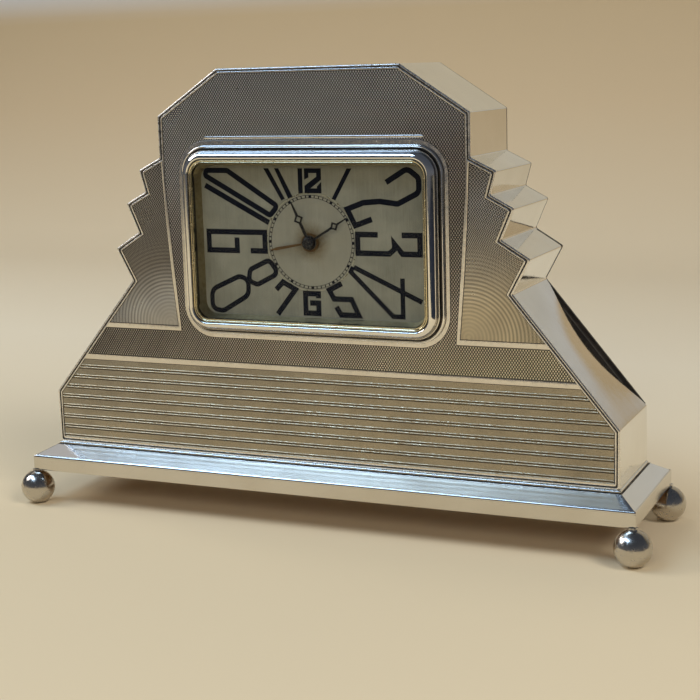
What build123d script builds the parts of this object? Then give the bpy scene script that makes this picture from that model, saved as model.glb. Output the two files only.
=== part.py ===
from build123d import *
import math
import os

# A silver-cased mantel alarm clock with a stepped outline, standing on four ball feet.
# Millimetres. X runs to the clock's right-hand side as its dial is read, Y runs from front to
# back and Z up. The origin is on the table, under the middle of the plinth.

# ---- Driving dimensions ----
plinth_length = 228.6
plinth_depth = 53.6
plinth_bottom = 12.8
plinth_edge_top = 18.0
body_base = 22.4
body_depth = 39.0
body_front = -18.4
body_rear = body_front + body_depth
sheet = 0.8
ball_radius = 6.25
ball_centre_height = 6.2
ball_inset = (1.0, 0.6)

# Right-hand half of the case's outline, as (x, height above the body's base)
half_outline = [
    (107.0, 0.0),
    (107.0, 19.6),
    (71.6, 62.3),
    (77.7, 73.8),
    (68.0, 79.8),
    (72.4, 90.0),
    (64.4, 94.3),
    (66.5, 102.0),
    (57.8, 106.3),
    (57.8, 120.8),
    (33.8, 136.6),
]
shoulder_height = body_base + half_outline[1][1]
outline_corner = 0.7

# The dial and what frames it
dial_centre = (0.0, 100.0)
dial_front = -17.5
dial_size = (88.8, 58.8)
sight_size = (83.3, 53.0)
bezel_size = (97.5, 66.1)
bezel_corner = 10.0
glass_front = -22.4
glass_thickness = 1.0

# The wooden carcass and the back
carcass_inset = 4.5
cavity_half_width = 46.0
cavity_bottom = 62.0
cavity_top = 141.0
board_front = 16.6
board_lip = 1.0
door_half_width = 41.0
door_bottom = 66.0
door_top = 140.0
door_rebate = 2.0
door_thickness = 2.0
door_gap = 0.4

# Plates of the movement
plate_half_width = 38.0
plate_bottom = 68.0
plate_top = 128.0
front_plate_rear = -10.5
back_plate_front = 6.5
plate_thickness = 1.5
plates_front = front_plate_rear - plate_thickness
plates_rear = back_plate_front + plate_thickness

# Clock angles, in degrees clockwise from twelve: ten past eleven, alarm at twenty to nine
minute_angle = 59.0
hour_angle = 335.0
alarm_angle = 259.5

# Gear teeth as shares of the module and of the pitch angle: height above the pitch circle,
# half width at the pitch circle, at the tip and at the root
wheel_tooth = (0.85, 0.20, 0.10, 0.24)
pinion_tooth = (0.75, 0.17, 0.09, 0.20)
tooth_depth = 1.15

# Running clearance of a pivot in its hole
pivot_gap = 0.04

# Screws and nuts
wood_screw_head = 1.9
wood_screw_shank = 1.0
nut_radius = 2.4
nut_thickness = 1.6


# ---- Where the arbors stand, as (x, z) ----
def from_point(point, distance, degrees):
    """The point at a distance from another, at an angle from +X."""
    angle = math.radians(degrees)
    return (point[0] + distance * math.cos(angle), point[1] + distance * math.sin(angle))


great_teeth, great_module = 80, 0.45
centre_pinion_teeth = 12
verge_pinion_teeth = 8
centre_teeth, centre_module = 64, 0.3
third_teeth, third_module = 60, 0.28
fourth_teeth, fourth_module = 64, 0.25
leaves = 8
cannon_teeth, minute_teeth, minute_module = 12, 36, 0.4
minute_pinion_teeth, hour_teeth = 10, 40
alarm_teeth, alarm_pinion_teeth, alarm_module = 48, 14, 0.4

minute_distance = (cannon_teeth + minute_teeth) * minute_module / 2
hour_module = 2 * minute_distance / (minute_pinion_teeth + hour_teeth)
great_distance = (great_teeth + centre_pinion_teeth) * great_module / 2

time_at = from_point(dial_centre, great_distance, 215.26)
alarm_at = from_point(dial_centre, great_distance, -35.26)
third_at = from_point(dial_centre, (centre_teeth + leaves) * centre_module / 2, 60)
fourth_at = from_point(third_at, (third_teeth + leaves) * third_module / 2, 150)
escape_at = from_point(fourth_at, (fourth_teeth + leaves) * fourth_module / 2, 190)
pallet_at = from_point(escape_at, 6.4, 190)
balance_at = from_point(pallet_at, 8.0, 190)
minute_wheel_at = from_point(dial_centre, minute_distance, -60)
alarm_set_at = from_point(dial_centre, (alarm_teeth + alarm_pinion_teeth) * alarm_module / 2, 145)
verge_at = from_point(alarm_at, (great_teeth + verge_pinion_teeth) * great_module / 2, 60)
hammer_at = from_point(verge_at, 9.5, 60)
bell_at = (4.0, 123.0)
stop_lever_at = (0.0, 80.0)
pillar_points = [(x, z) for x in (-34.0, 34.0) for z in (72.0, 124.0)]
dial_foot_points = [(-30.0, 120.0), (30.0, 80.0)]


# ---- Helpers ----
def facing(y):
    """The plane across the clock at depth y. Its normal points out of the front."""
    return Plane(origin=(0, y, 0), x_dir=(1, 0, 0), z_dir=(0, -1, 0))


def pointing(y, clock_angle):
    """A plane across the dial at depth y, whose local +Y points to a clock angle."""
    angle = math.radians(clock_angle)
    across = (math.cos(angle), 0, -math.sin(angle))
    return Plane(origin=(dial_centre[0], y, dial_centre[1]), x_dir=across, z_dir=(0, -1, 0))


def slab(section, front, rear, mode=Mode.ADD):
    """A section drawn on facing(rear), made as thick as the way from front to rear."""
    extrude(section, amount=rear - front, mode=mode)


def turned(at, *steps, mode=Mode.ADD):
    """Discs along the clock's depth round (x, z) = at, each as (front y, rear y, radius)."""
    for front, rear, radius in steps:
        with BuildSketch(facing(rear)) as disc:
            with Locations(at):
                Circle(radius)
        slab(disc.sketch, front, rear, mode)


def bored(at, front, rear, radius):
    """A round hole along the clock's depth."""
    turned(at, (front, rear, radius), mode=Mode.SUBTRACT)


def plate(at, front, rear, size, corner, mode=Mode.ADD):
    """A rounded rectangle round (x, z) = at, standing across the clock."""
    with BuildSketch(facing(rear)) as outline:
        with Locations(at):
            RectangleRounded(*size, corner)
    slab(outline.sketch, front, rear, mode)


def block(low, high, mode=Mode.ADD):
    """A box between its lowest and highest corners."""
    middle = (Vector(*low) + Vector(*high)) * 0.5
    with Locations(middle):
        Box(*[b - a for a, b in zip(low, high)], mode=mode)


def toothed(at, front, rear, teeth, module, turn, tooth=wheel_tooth):
    """A gear round (x, z) = at, with the middle of a tooth at the angle turn from +X."""
    height, half_pitch, half_tip, half_root = tooth
    pitch_radius = teeth * module / 2
    tip_radius = pitch_radius + height * module
    root_radius = pitch_radius - tooth_depth * module
    rising = [(root_radius, half_root), (pitch_radius, half_pitch), (tip_radius, half_tip)]
    flank = [(radius, -half) for radius, half in rising] + rising[::-1]
    points = []
    for number in range(teeth):
        for radius, half in flank:
            points.append(from_point(at, radius, turn + (number + half) * 360 / teeth))
    with BuildSketch(facing(rear)) as profile:
        with BuildLine():
            Polyline(*points, close=True)
        make_face()
    slab(profile.sketch, front, rear)


def meshed(other_at, other_teeth, other_turn, at, teeth):
    """The turn that sets a gear's teeth in the gaps of the gear that it meets."""
    line = math.degrees(math.atan2(at[1] - other_at[1], at[0] - other_at[0]))
    phase = (line - other_turn) * other_teeth / 360
    return line + 180 - (0.5 - phase) * 360 / teeth


def crossed_out(at, front, rear, inner, outer, arms, arm_width):
    """Windows between the arms of a wheel."""
    with BuildSketch(facing(rear)) as windows:
        with Locations(at):
            Circle(outer)
            Circle(inner, mode=Mode.SUBTRACT)
            with PolarLocations(0, arms):
                Rectangle(
                    2 * outer,
                    arm_width,
                    align=(Align.MIN, Align.CENTER),
                    mode=Mode.SUBTRACT,
                )
    slab(windows.sketch, front, rear, Mode.SUBTRACT)


def bar(start, end, front, rear, width):
    """A round-ended bar across the clock, from one (x, z) point to another."""
    along = Vector(*end) - Vector(*start)
    slope = math.degrees(math.atan2(along.Y, along.X))
    with BuildSketch(facing(rear)) as strip:
        with Locations((Vector(*start) + Vector(*end)) * 0.5):
            SlotCenterToCenter(along.length, width, rotation=slope)
    slab(strip.sketch, front, rear)


def wound_strip(at, front, rear, inner, thickness, pitch, half_turns):
    """A flat spring of half circles, whose centre changes sides at every half turn."""
    with BuildSketch(facing(rear)) as coil:
        with BuildLine():
            for number in range(half_turns):
                centre = (at[0] + number % 2 * pitch / 2, at[1])
                radius = inner + number * pitch / 2
                CenterArc(centre, radius + thickness, number % 2 * 180, 180)
                CenterArc(centre, radius, number % 2 * 180, 180)
            Line((at[0] + inner, at[1]), (at[0] + inner + thickness, at[1]))
            side = -1 if half_turns % 2 else 1
            last = at[0] + (half_turns - 1) % 2 * pitch / 2
            reach = inner + (half_turns - 1) * pitch / 2
            Line(
                (last + side * reach, at[1]),
                (last + side * (reach + thickness), at[1]),
            )
        make_face()
    slab(coil.sketch, front, rear)


def drawn_in(points, inset):
    """The corners of an outline that runs anticlockwise, each moved in along its mitre."""
    moved = []
    for before, here, after in zip(points[-1:] + points, points, points[1:] + points[:1]):
        first = (Vector(*here) - Vector(*before)).normalized().rotate(Axis.Z, 90)
        second = (Vector(*after) - Vector(*here)).normalized().rotate(Axis.Z, 90)
        mitre = (first + second) * (inset / (1 + first.dot(second)))
        moved.append((here[0] + mitre.X, here[1] + mitre.Y))
    return moved


def case_section(y, inset):
    """The case's outline at depth y, drawn in by inset."""
    points = half_outline + [(-x, z) for x, z in reversed(half_outline)]
    points = drawn_in([(x, z + body_base) for x, z in points], inset)
    with BuildSketch(facing(y)) as section:
        with BuildLine():
            Polyline(*points, close=True)
        make_face()
        fillet(section.vertices(), radius=outline_corner)
    return section.sketch


def save(piece, name):
    """Labels a finished piece and writes it as parts/name.step."""
    piece.part.label = name
    export_step(piece.part, f"parts/{name}.step")


os.makedirs("parts", exist_ok=True)

# ---- Case: one skin of sheet silver over a wooden carcass ----
body_middle = (body_front + body_rear) / 2
plate_opening = (86.0, 55.2)
plate_opening_corner = 6.0

with BuildPart() as front_plate:
    slab(case_section(body_front + sheet, 0), body_front, body_front + sheet)
    plate(
        dial_centre,
        body_front,
        body_front + sheet,
        plate_opening,
        plate_opening_corner,
        Mode.SUBTRACT,
    )
save(front_plate, "front_plate")

# The band stops short of the back board's lip, but not down the square sides at the base.
band_rear = body_rear - board_lip
flange_width = 8.0
side_half_width = half_outline[0][0]

with BuildPart() as side_band:
    slab(case_section(body_rear, 0), body_front + sheet, body_rear)
    slab(case_section(body_rear, sheet), body_front + sheet, body_rear, Mode.SUBTRACT)
    block(
        (-side_half_width, band_rear, shoulder_height),
        (side_half_width, body_rear, body_base + half_outline[-1][1]),
        Mode.SUBTRACT,
    )
    block(
        (flange_width - side_half_width, body_front, body_base),
        (side_half_width - flange_width, body_rear, body_base + sheet),
        Mode.SUBTRACT,
    )
    for side in (-1, 1):
        edge = side * side_half_width
        foot = sorted((edge - side * sheet, edge - side * flange_width))
        block(
            (foot[0], board_front, body_base),
            (foot[1], body_rear, body_base + 2 * sheet),
            Mode.SUBTRACT,
        )
save(side_band, "side_band")

carcass_front = body_front + sheet
carcass_bottom = body_base + sheet
case_screw_points = [(x, y) for x in (-88.0, 88.0) for y in (-8.0, 8.0)]
case_screw_shank = 1.7
case_screw_head = 3.2
case_screw_top = 36.0
board_screw_points = [
    (-96.0, 32.0),
    (0.0, 32.0),
    (96.0, 32.0),
    (-49.6, 70.0),
    (49.6, 70.0),
    (-49.6, 128.0),
    (49.6, 128.0),
    (0.0, 148.0),
]
board_screw_depth = 9.0
strap_height = 94.0
strap_width = 9.0
strap_screw_y = 12.6
strap_screw_depth = 5.0

with BuildPart() as carcass:
    slab(case_section(board_front, carcass_inset), carcass_front, board_front)
    block(
        (-side_half_width + carcass_inset, carcass_front, carcass_bottom),
        (side_half_width - carcass_inset, board_front, body_base + 2 * carcass_inset),
    )
    block(
        (-cavity_half_width, carcass_front, cavity_bottom),
        (cavity_half_width, board_front, cavity_top),
        Mode.SUBTRACT,
    )
    for point in board_screw_points:
        bored(point, board_front - board_screw_depth, board_front, wood_screw_shank)
    for point in case_screw_points:
        with Locations((*point, carcass_bottom)):
            Cylinder(
                case_screw_shank,
                case_screw_top - carcass_bottom,
                align=(Align.CENTER, Align.CENTER, Align.MIN),
                mode=Mode.SUBTRACT,
            )
    for side in (-1, 1):
        with BuildSketch(Plane.YZ.offset(side * cavity_half_width)) as pilot:
            with Locations((strap_screw_y, strap_height)):
                Circle(wood_screw_shank)
        extrude(pilot.sketch, amount=side * strap_screw_depth, mode=Mode.SUBTRACT)
save(carcass, "carcass")

door_size = (2 * door_half_width, door_top - door_bottom)
door_middle = (0.0, (door_top + door_bottom) / 2)

with BuildPart() as back_board:
    slab(case_section(band_rear, sheet + 0.2), board_front, band_rear)
    slab(case_section(body_rear, 0.1), band_rear, body_rear)
    for side in (-1, 1):
        edge = side * side_half_width
        margin = sorted((edge, edge - side * (sheet + 0.1)))
        block(
            (margin[0], band_rear, body_base),
            (margin[1], body_rear, shoulder_height + 0.6),
            Mode.SUBTRACT,
        )
    block(
        (-door_half_width, body_rear - door_thickness, door_bottom),
        (door_half_width, body_rear, door_top),
        Mode.SUBTRACT,
    )
    block(
        (door_rebate - door_half_width, board_front, door_bottom + door_rebate),
        (door_half_width - door_rebate, body_rear, door_top - door_rebate),
        Mode.SUBTRACT,
    )
    for point in board_screw_points:
        bored(point, board_front, body_rear, wood_screw_shank)
save(back_board, "back_board")

# ---- Back door on a three-knuckle hinge ----
knuckle_radius = 1.3
knuckle_clearance = 0.1
hinge_at = (-door_half_width, body_rear + knuckle_radius + knuckle_clearance)
hinge_middle = door_middle[1]
hinge_length = 30.0
knuckle = hinge_length / 3
knuckle_gap = 0.15
hinge_pin_radius = 0.6
leaf_width = 9.0
leaf_thickness = 0.6
leaf_screw_points = [(-door_half_width - 6.0, hinge_middle + dz) for dz in (-10.0, 10.0)]
knob_at = (door_half_width - 7.0, door_middle[1])

with BuildPart() as back_door:
    plate(
        door_middle,
        body_rear - door_thickness,
        body_rear,
        [length - 2 * door_gap for length in door_size],
        0.6,
    )
    bored(knob_at, body_rear - door_thickness, body_rear, 1.2)
save(back_door, "back_door")

knuckle_ends = [hinge_middle + (number - 1.5) * knuckle for number in range(4)]

with BuildPart() as hinge_fixed_leaf:
    block(
        (hinge_at[0] - leaf_width, body_rear, knuckle_ends[0]),
        (hinge_at[0], body_rear + leaf_thickness, knuckle_ends[3]),
    )
    block(
        (hinge_at[0] - knuckle_radius - 0.15, body_rear, knuckle_ends[1] - knuckle_gap),
        (hinge_at[0], body_rear + leaf_thickness, knuckle_ends[2] + knuckle_gap),
        Mode.SUBTRACT,
    )
    for bottom, top in ((knuckle_ends[0], knuckle_ends[1]), (knuckle_ends[2], knuckle_ends[3])):
        with Locations((*hinge_at, (bottom + top) / 2)):
            Cylinder(knuckle_radius, top - bottom)
    with Locations((*hinge_at, hinge_middle)):
        Cylinder(hinge_pin_radius, hinge_length, mode=Mode.SUBTRACT)
    for point in leaf_screw_points:
        bored(point, body_rear, body_rear + leaf_thickness, wood_screw_shank)
save(hinge_fixed_leaf, "hinge_fixed_leaf")

with BuildPart() as hinge_door_leaf:
    block(
        (hinge_at[0] + knuckle_radius + 0.3, body_rear, knuckle_ends[0]),
        (hinge_at[0] + leaf_width, body_rear + leaf_thickness, knuckle_ends[3]),
    )
    block(
        (hinge_at[0], body_rear + knuckle_clearance, knuckle_ends[1] + knuckle_gap),
        (hinge_at[0] + leaf_width, body_rear + leaf_thickness, knuckle_ends[2] - knuckle_gap),
    )
    knuckle_bottom = knuckle_ends[1] + knuckle_gap
    knuckle_top = knuckle_ends[2] - knuckle_gap
    with Locations((*hinge_at, (knuckle_bottom + knuckle_top) / 2)):
        Cylinder(knuckle_radius, knuckle_top - knuckle_bottom)
    with Locations((*hinge_at, hinge_middle)):
        Cylinder(hinge_pin_radius + pivot_gap, hinge_length, mode=Mode.SUBTRACT)
    for height in (-10.0, 10.0):
        turned(
            (hinge_at[0] + 6.0, hinge_middle + height),
            (body_rear + leaf_thickness, body_rear + leaf_thickness + 0.4, 1.2),
        )
save(hinge_door_leaf, "hinge_door_leaf")

with BuildPart() as hinge_pin:
    with Locations((*hinge_at, hinge_middle)):
        Cylinder(hinge_pin_radius, hinge_length)
    for end in (-1, 1):
        with Locations((*hinge_at, hinge_middle + end * (hinge_length / 2 + 0.4))):
            Cylinder(hinge_pin_radius + 0.2, 0.8)
save(hinge_pin, "hinge_pin")

with BuildPart() as door_knob:
    turned(
        knob_at,
        (body_rear - door_thickness - 0.8, body_rear - door_thickness, 2.0),
        (body_rear - door_thickness, body_rear + 1.6, 1.2),
        (body_rear, body_rear + 0.5, 2.6),
        (body_rear + 1.6, body_rear + 4.2, 3.0),
    )
    fillet(door_knob.faces().sort_by(Axis.Y)[-1].edges(), radius=1.0)
save(door_knob, "door_knob")

# ---- Plinth: a sheet-silver shell over a wooden board ----
slope_top = 21.4
bead_width = 0.6
bead_size = (2 * (side_half_width + bead_width), body_depth + 2 * bead_width)
slope_size = (bead_size[0] + 1.0, bead_size[1] + 1.0)
shell_size = (plinth_length, plinth_depth)
shell_inside = (plinth_length - 2 * sheet, plinth_depth - 2 * sheet)
under_slope_top = slope_top - 0.4
under_slope_size = (slope_size[0] - 2.0, slope_size[1] - 2.0)

with BuildPart() as plinth_shell:
    with BuildSketch(Plane.XY.offset(plinth_bottom)):
        Rectangle(*shell_size)
    extrude(amount=plinth_edge_top - plinth_bottom)
    with BuildSketch(Plane.XY.offset(plinth_edge_top)):
        Rectangle(*shell_size)
    with BuildSketch(Plane.XY.offset(slope_top)):
        with Locations((0, body_middle)):
            Rectangle(*slope_size)
    loft()
    with BuildSketch(Plane.XY.offset(slope_top)):
        with Locations((0, body_middle)):
            Rectangle(*bead_size)
    extrude(amount=body_base - slope_top)
    fillet(plinth_shell.edges().group_by(Axis.Z)[-1], radius=0.4)
    with BuildSketch(Plane.XY.offset(plinth_bottom)):
        Rectangle(*shell_inside)
    extrude(amount=plinth_edge_top - 0.4 - plinth_bottom, mode=Mode.SUBTRACT)
    with BuildSketch(Plane.XY.offset(plinth_edge_top - 0.4)):
        Rectangle(*shell_inside)
    with BuildSketch(Plane.XY.offset(under_slope_top)):
        with Locations((0, body_middle)):
            Rectangle(*under_slope_size)
    loft(mode=Mode.SUBTRACT)
    with BuildSketch(Plane.XY.offset(under_slope_top)):
        with Locations((0, body_middle)):
            Rectangle(under_slope_size[0] - 1.0, under_slope_size[1] - 1.0)
    extrude(amount=body_base - sheet - under_slope_top, mode=Mode.SUBTRACT)
    for point in case_screw_points:
        with Locations((*point, body_base)):
            Cylinder(case_screw_shank + 0.2, 4, mode=Mode.SUBTRACT)
save(plinth_shell, "plinth_shell")

board_bottom = plinth_bottom + 1.2
lug_thickness = 1.0
foot_screw_inset = (7.0, 6.4)
foot_centre = (plinth_length / 2 - ball_inset[0], plinth_depth / 2 - ball_inset[1])
foot_screw_points = [
    (sx * (foot_centre[0] - foot_screw_inset[0]), sy * (foot_centre[1] - foot_screw_inset[1]))
    for sx in (-1, 1)
    for sy in (-1, 1)
]
foot_screw_depth = 5.0
head_recess = 2.4

with BuildPart() as plinth_board:
    with BuildSketch(Plane.XY.offset(board_bottom)):
        Rectangle(shell_inside[0] - 0.4, shell_inside[1] - 0.4)
    extrude(amount=plinth_edge_top - 1.0 - board_bottom)
    with BuildSketch(Plane.XY.offset(board_bottom)):
        with Locations((0, body_middle)):
            Rectangle(under_slope_size[0] - 3.0, under_slope_size[1] - 3.0)
    extrude(amount=body_base - sheet - board_bottom)
    for point in case_screw_points:
        with Locations((*point, board_bottom)):
            Cylinder(case_screw_head + 0.2, 2 * head_recess, mode=Mode.SUBTRACT)
            Cylinder(case_screw_shank + 0.2, 40, mode=Mode.SUBTRACT)
    for point in foot_screw_points:
        with Locations((*point, board_bottom)):
            Cylinder(wood_screw_shank, 2 * foot_screw_depth, mode=Mode.SUBTRACT)
save(plinth_board, "plinth_board")

with BuildPart() as case_screws:
    for point in case_screw_points:
        with Locations((*point, board_bottom + head_recess)):
            Cylinder(
                case_screw_head,
                1.6,
                align=(Align.CENTER, Align.CENTER, Align.MAX),
            )
            Cylinder(
                case_screw_shank,
                case_screw_top - board_bottom - head_recess,
                align=(Align.CENTER, Align.CENTER, Align.MIN),
            )
            with Locations((0, 0, -1.6)):
                Box(2 * case_screw_head, 0.8, 1.2, mode=Mode.SUBTRACT)
save(case_screws, "case_screws")

# ---- Four ball feet, each with a lug under the plinth's corner ----
lug_size = 10.0
lug_edge = 0.4
post_inset = 1.8
post_radius = 1.6
lug_bottom = board_bottom - lug_thickness
post_bottom = ball_centre_height + 3.0

for row, sy in (("front", -1), ("rear", 1)):
    for column, sx in (("left", -1), ("right", 1)):
        corner = (sx * foot_centre[0], sy * foot_centre[1])
        with BuildPart() as foot:
            with Locations((*corner, ball_centre_height)):
                Sphere(ball_radius)
            block(
                (corner[0] - ball_radius, corner[1] - ball_radius, -1.0),
                (corner[0] + ball_radius, corner[1] + ball_radius, 0.0),
                Mode.SUBTRACT,
            )
            post = (corner[0] - sx * post_inset, corner[1] - sy * post_inset, post_bottom)
            with Locations(post):
                Cylinder(
                    post_radius,
                    lug_bottom + lug_thickness / 2 - post_bottom,
                    align=(Align.CENTER, Align.CENTER, Align.MIN),
                )
            lug_corner = (corner[0] - sx * lug_edge, corner[1] - sy * lug_edge)
            lug_x = sorted((lug_corner[0], lug_corner[0] - sx * lug_size))
            lug_y = sorted((lug_corner[1], lug_corner[1] - sy * lug_size))
            block(
                (lug_x[0], lug_y[0], lug_bottom),
                (lug_x[1], lug_y[1], board_bottom),
            )
            screw = (
                sx * (foot_centre[0] - foot_screw_inset[0]),
                sy * (foot_centre[1] - foot_screw_inset[1]),
            )
            with Locations((*screw, board_bottom)):
                Cylinder(wood_screw_shank, 3, mode=Mode.SUBTRACT)
        save(foot, f"foot_{row}_{column}")


# ---- Small wood screws: back board, hinge leaf, movement straps and feet ----
def wood_screw(plane, depth):
    """A round-headed screw whose head stands on the plane and whose shank goes below it."""
    with BuildSketch(plane) as shank:
        Circle(wood_screw_shank)
    extrude(shank.sketch, amount=-depth)
    with BuildSketch(plane) as head:
        Circle(wood_screw_head)
    extrude(head.sketch, amount=1.1)
    with BuildSketch(plane.offset(1.1)) as slot:
        Rectangle(2 * wood_screw_head, 0.5)
    extrude(slot.sketch, amount=-0.5, mode=Mode.SUBTRACT)


def out_of(x, y, z, normal):
    """A plane through a point, with its normal given."""
    return Plane(origin=(x, y, z), z_dir=normal)


strap_thickness = 1.2

with BuildPart() as wood_screws:
    for x, z in board_screw_points:
        wood_screw(out_of(x, body_rear, z, (0, 1, 0)), body_rear - board_front + 8.0)
    for x, z in leaf_screw_points:
        wood_screw(out_of(x, body_rear + leaf_thickness, z, (0, 1, 0)), leaf_thickness)
    for x, y in foot_screw_points:
        wood_screw(out_of(x, y, lug_bottom, (0, 0, -1)), lug_thickness + 4.0)
    for side in (-1, 1):
        head_at = side * (cavity_half_width - strap_thickness)
        wood_screw(
            out_of(head_at, strap_screw_y, strap_height, (-side, 0, 0)),
            strap_thickness + 4.0,
        )
save(wood_screws, "wood_screws")

# ---- Bezel, glass and dial ----
ring_size = (88.0, 56.6)
ring_corner = 6.5
ring_wall = 1.0
bezel_hole = (ring_size[0] + 0.2, ring_size[1] + 0.2)
bezel_front = -23.2
lip_width = 1.7
lip_height = 0.7

with BuildPart() as bezel:
    plate(dial_centre, body_front - lip_height, body_front, bezel_size, bezel_corner)
    plate(
        dial_centre,
        bezel_front,
        body_front,
        [length - 2 * lip_width for length in bezel_size],
        bezel_corner - lip_width,
    )
    fillet(bezel.faces().sort_by(Axis.Y)[0].edges(), radius=1.4)
    plate(dial_centre, bezel_front, body_front, bezel_hole, ring_corner + 0.1, Mode.SUBTRACT)
    chamfer(bezel.faces().sort_by(Axis.Y)[0].inner_wires().edges(), length=0.5)
save(bezel, "bezel")

glass_rear = glass_front + glass_thickness
glass_size = (ring_size[0] - 2 * ring_wall - 0.2, ring_size[1] - 2 * ring_wall - 0.2)
glass_corner = ring_corner - ring_wall - 0.1
ring_front = glass_front - 0.5

with BuildPart() as glass_ring:
    plate(dial_centre, ring_front, body_front, ring_size, ring_corner)
    plate(
        dial_centre,
        glass_front,
        body_front,
        [length - 2 * ring_wall for length in ring_size],
        ring_corner - ring_wall,
        Mode.SUBTRACT,
    )
    plate(dial_centre, ring_front, body_front, sight_size, 5.0, Mode.SUBTRACT)
save(glass_ring, "glass_ring")

with BuildPart() as glass:
    plate(dial_centre, glass_front, glass_rear, glass_size, glass_corner)
save(glass, "glass")

slip_rear = dial_front - 0.05
slip_size = (glass_size[0] - 0.1, glass_size[1] - 0.1)

with BuildPart() as sight_ring:
    plate(dial_centre, glass_rear, slip_rear, slip_size, glass_corner - 0.1)
    plate(dial_centre, glass_rear, slip_rear, sight_size, 5.0, Mode.SUBTRACT)
save(sight_ring, "sight_ring")

dial_rear = dial_front + 0.8
dial_hole = 2.8
dial_foot = 0.8

with BuildPart() as dial:
    plate(dial_centre, dial_front, dial_rear, dial_size, 4.0)
    bored(dial_centre, dial_front, dial_rear, dial_hole)
    for point in dial_foot_points:
        turned(
            point,
            (dial_rear, plates_front, 1.6),
            (plates_front, front_plate_rear + 1.0, dial_foot),
        )
save(dial, "dial")

# ---- Hands ----
minute_levels = (-20.3, -19.9)
hour_levels = (-19.5, -19.1)
alarm_levels = (-18.7, -18.3)
minute_seat = 1.0
hour_seat = 1.7
alarm_seat = 2.35


def square_hand(levels, clock_angle, length, square_at, square, seat, boss, width):
    """A tapered hand with an open square in its length."""
    front, rear = levels
    with BuildSketch(pointing(rear, clock_angle)) as blade:
        with BuildLine():
            Polyline(
                (-width / 2, 0),
                (-width / 2, square_at),
                (-0.18, length),
                (0.18, length),
                (width / 2, square_at),
                (width / 2, 0),
                close=True,
            )
        make_face()
        Circle(boss)
        with Locations((0, square_at)):
            Rectangle(square, square, rotation=45)
            Rectangle(square - 1.1, square - 1.1, rotation=45, mode=Mode.SUBTRACT)
        Circle(seat, mode=Mode.SUBTRACT)
    slab(blade.sketch, front, rear)


with BuildPart() as minute_hand:
    square_hand(minute_levels, minute_angle, 16.9, 11.5, 2.3, minute_seat, 1.8, 0.8)
save(minute_hand, "minute_hand")

with BuildPart() as hour_hand:
    square_hand(hour_levels, hour_angle, 15.3, 8.8, 2.6, hour_seat, 2.5, 1.0)
save(hour_hand, "hour_hand")

with BuildPart() as alarm_hand:
    with BuildSketch(pointing(alarm_levels[1], alarm_angle)) as blade:
        with BuildLine():
            Polyline(
                (-0.3, 0),
                (-0.55, 13.0),
                (0, 15.9),
                (0.55, 13.0),
                (0.3, 0),
                close=True,
            )
        make_face()
        Circle(3.2)
        Circle(alarm_seat, mode=Mode.SUBTRACT)
    slab(blade.sketch, *alarm_levels)
save(alarm_hand, "alarm_hand")

hub_front = -21.0
arbor_tip = 0.75

with BuildPart() as hub_cap:
    turned(dial_centre, (hub_front, minute_levels[0], 2.1))
    fillet(hub_cap.faces().sort_by(Axis.Y)[0].edges(), radius=0.5)
    bored(dial_centre, minute_levels[0] - 0.4, minute_levels[0], arbor_tip)
save(hub_cap, "hub_cap")

# ---- Motion work between the dial and the front plate ----
cannon_levels = (-13.9, -12.7)
hour_wheel_levels = (-15.1, -14.4)
alarm_wheel_levels = (-16.3, -15.6)
cannon_pipe = 1.25
hour_pipe = 1.9
alarm_pipe = 2.55
cannon_turn = meshed(minute_wheel_at, minute_teeth, 0, dial_centre, cannon_teeth)
hour_wheel_turn = meshed(minute_wheel_at, minute_pinion_teeth, 0, dial_centre, hour_teeth)
alarm_wheel_turn = meshed(alarm_set_at, alarm_pinion_teeth, 0, dial_centre, alarm_teeth)

with BuildPart() as cannon_pinion:
    toothed(
        dial_centre, *cannon_levels, cannon_teeth, minute_module, cannon_turn, pinion_tooth
    )
    turned(
        dial_centre,
        (minute_levels[1], cannon_levels[0], cannon_pipe),
        (minute_levels[0], minute_levels[1], minute_seat),
    )
    bored(dial_centre, minute_levels[0], cannon_levels[1], arbor_tip + 0.02)
save(cannon_pinion, "cannon_pinion")

with BuildPart() as minute_wheel:
    toothed(minute_wheel_at, -13.8, -12.8, minute_teeth, minute_module, 0)
    crossed_out(minute_wheel_at, -13.8, -12.8, 2.6, 5.6, 4, 1.2)
    toothed(
        minute_wheel_at, -15.2, -13.8, minute_pinion_teeth, hour_module, 0, pinion_tooth
    )
    bored(minute_wheel_at, -15.2, -12.8, 0.8 + pivot_gap)
save(minute_wheel, "minute_wheel")

with BuildPart() as hour_wheel:
    toothed(dial_centre, *hour_wheel_levels, hour_teeth, hour_module, hour_wheel_turn)
    crossed_out(dial_centre, *hour_wheel_levels, 3.2, 6.2, 4, 1.3)
    turned(
        dial_centre,
        (hour_levels[1], hour_wheel_levels[0], hour_pipe),
        (hour_levels[0], hour_levels[1], hour_seat),
    )
    bored(dial_centre, hour_levels[0], hour_wheel_levels[1], cannon_pipe + pivot_gap)
save(hour_wheel, "hour_wheel")

with BuildPart() as alarm_wheel:
    toothed(dial_centre, *alarm_wheel_levels, alarm_teeth, alarm_module, alarm_wheel_turn)
    crossed_out(dial_centre, *alarm_wheel_levels, 4.0, 7.9, 3, 1.6)
    turned(
        dial_centre,
        (alarm_levels[1], alarm_wheel_levels[0], alarm_pipe),
        (alarm_levels[0], alarm_levels[1], alarm_seat),
    )
    bored(dial_centre, alarm_levels[0], alarm_wheel_levels[1], hour_pipe + pivot_gap)
save(alarm_wheel, "alarm_wheel")

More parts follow.
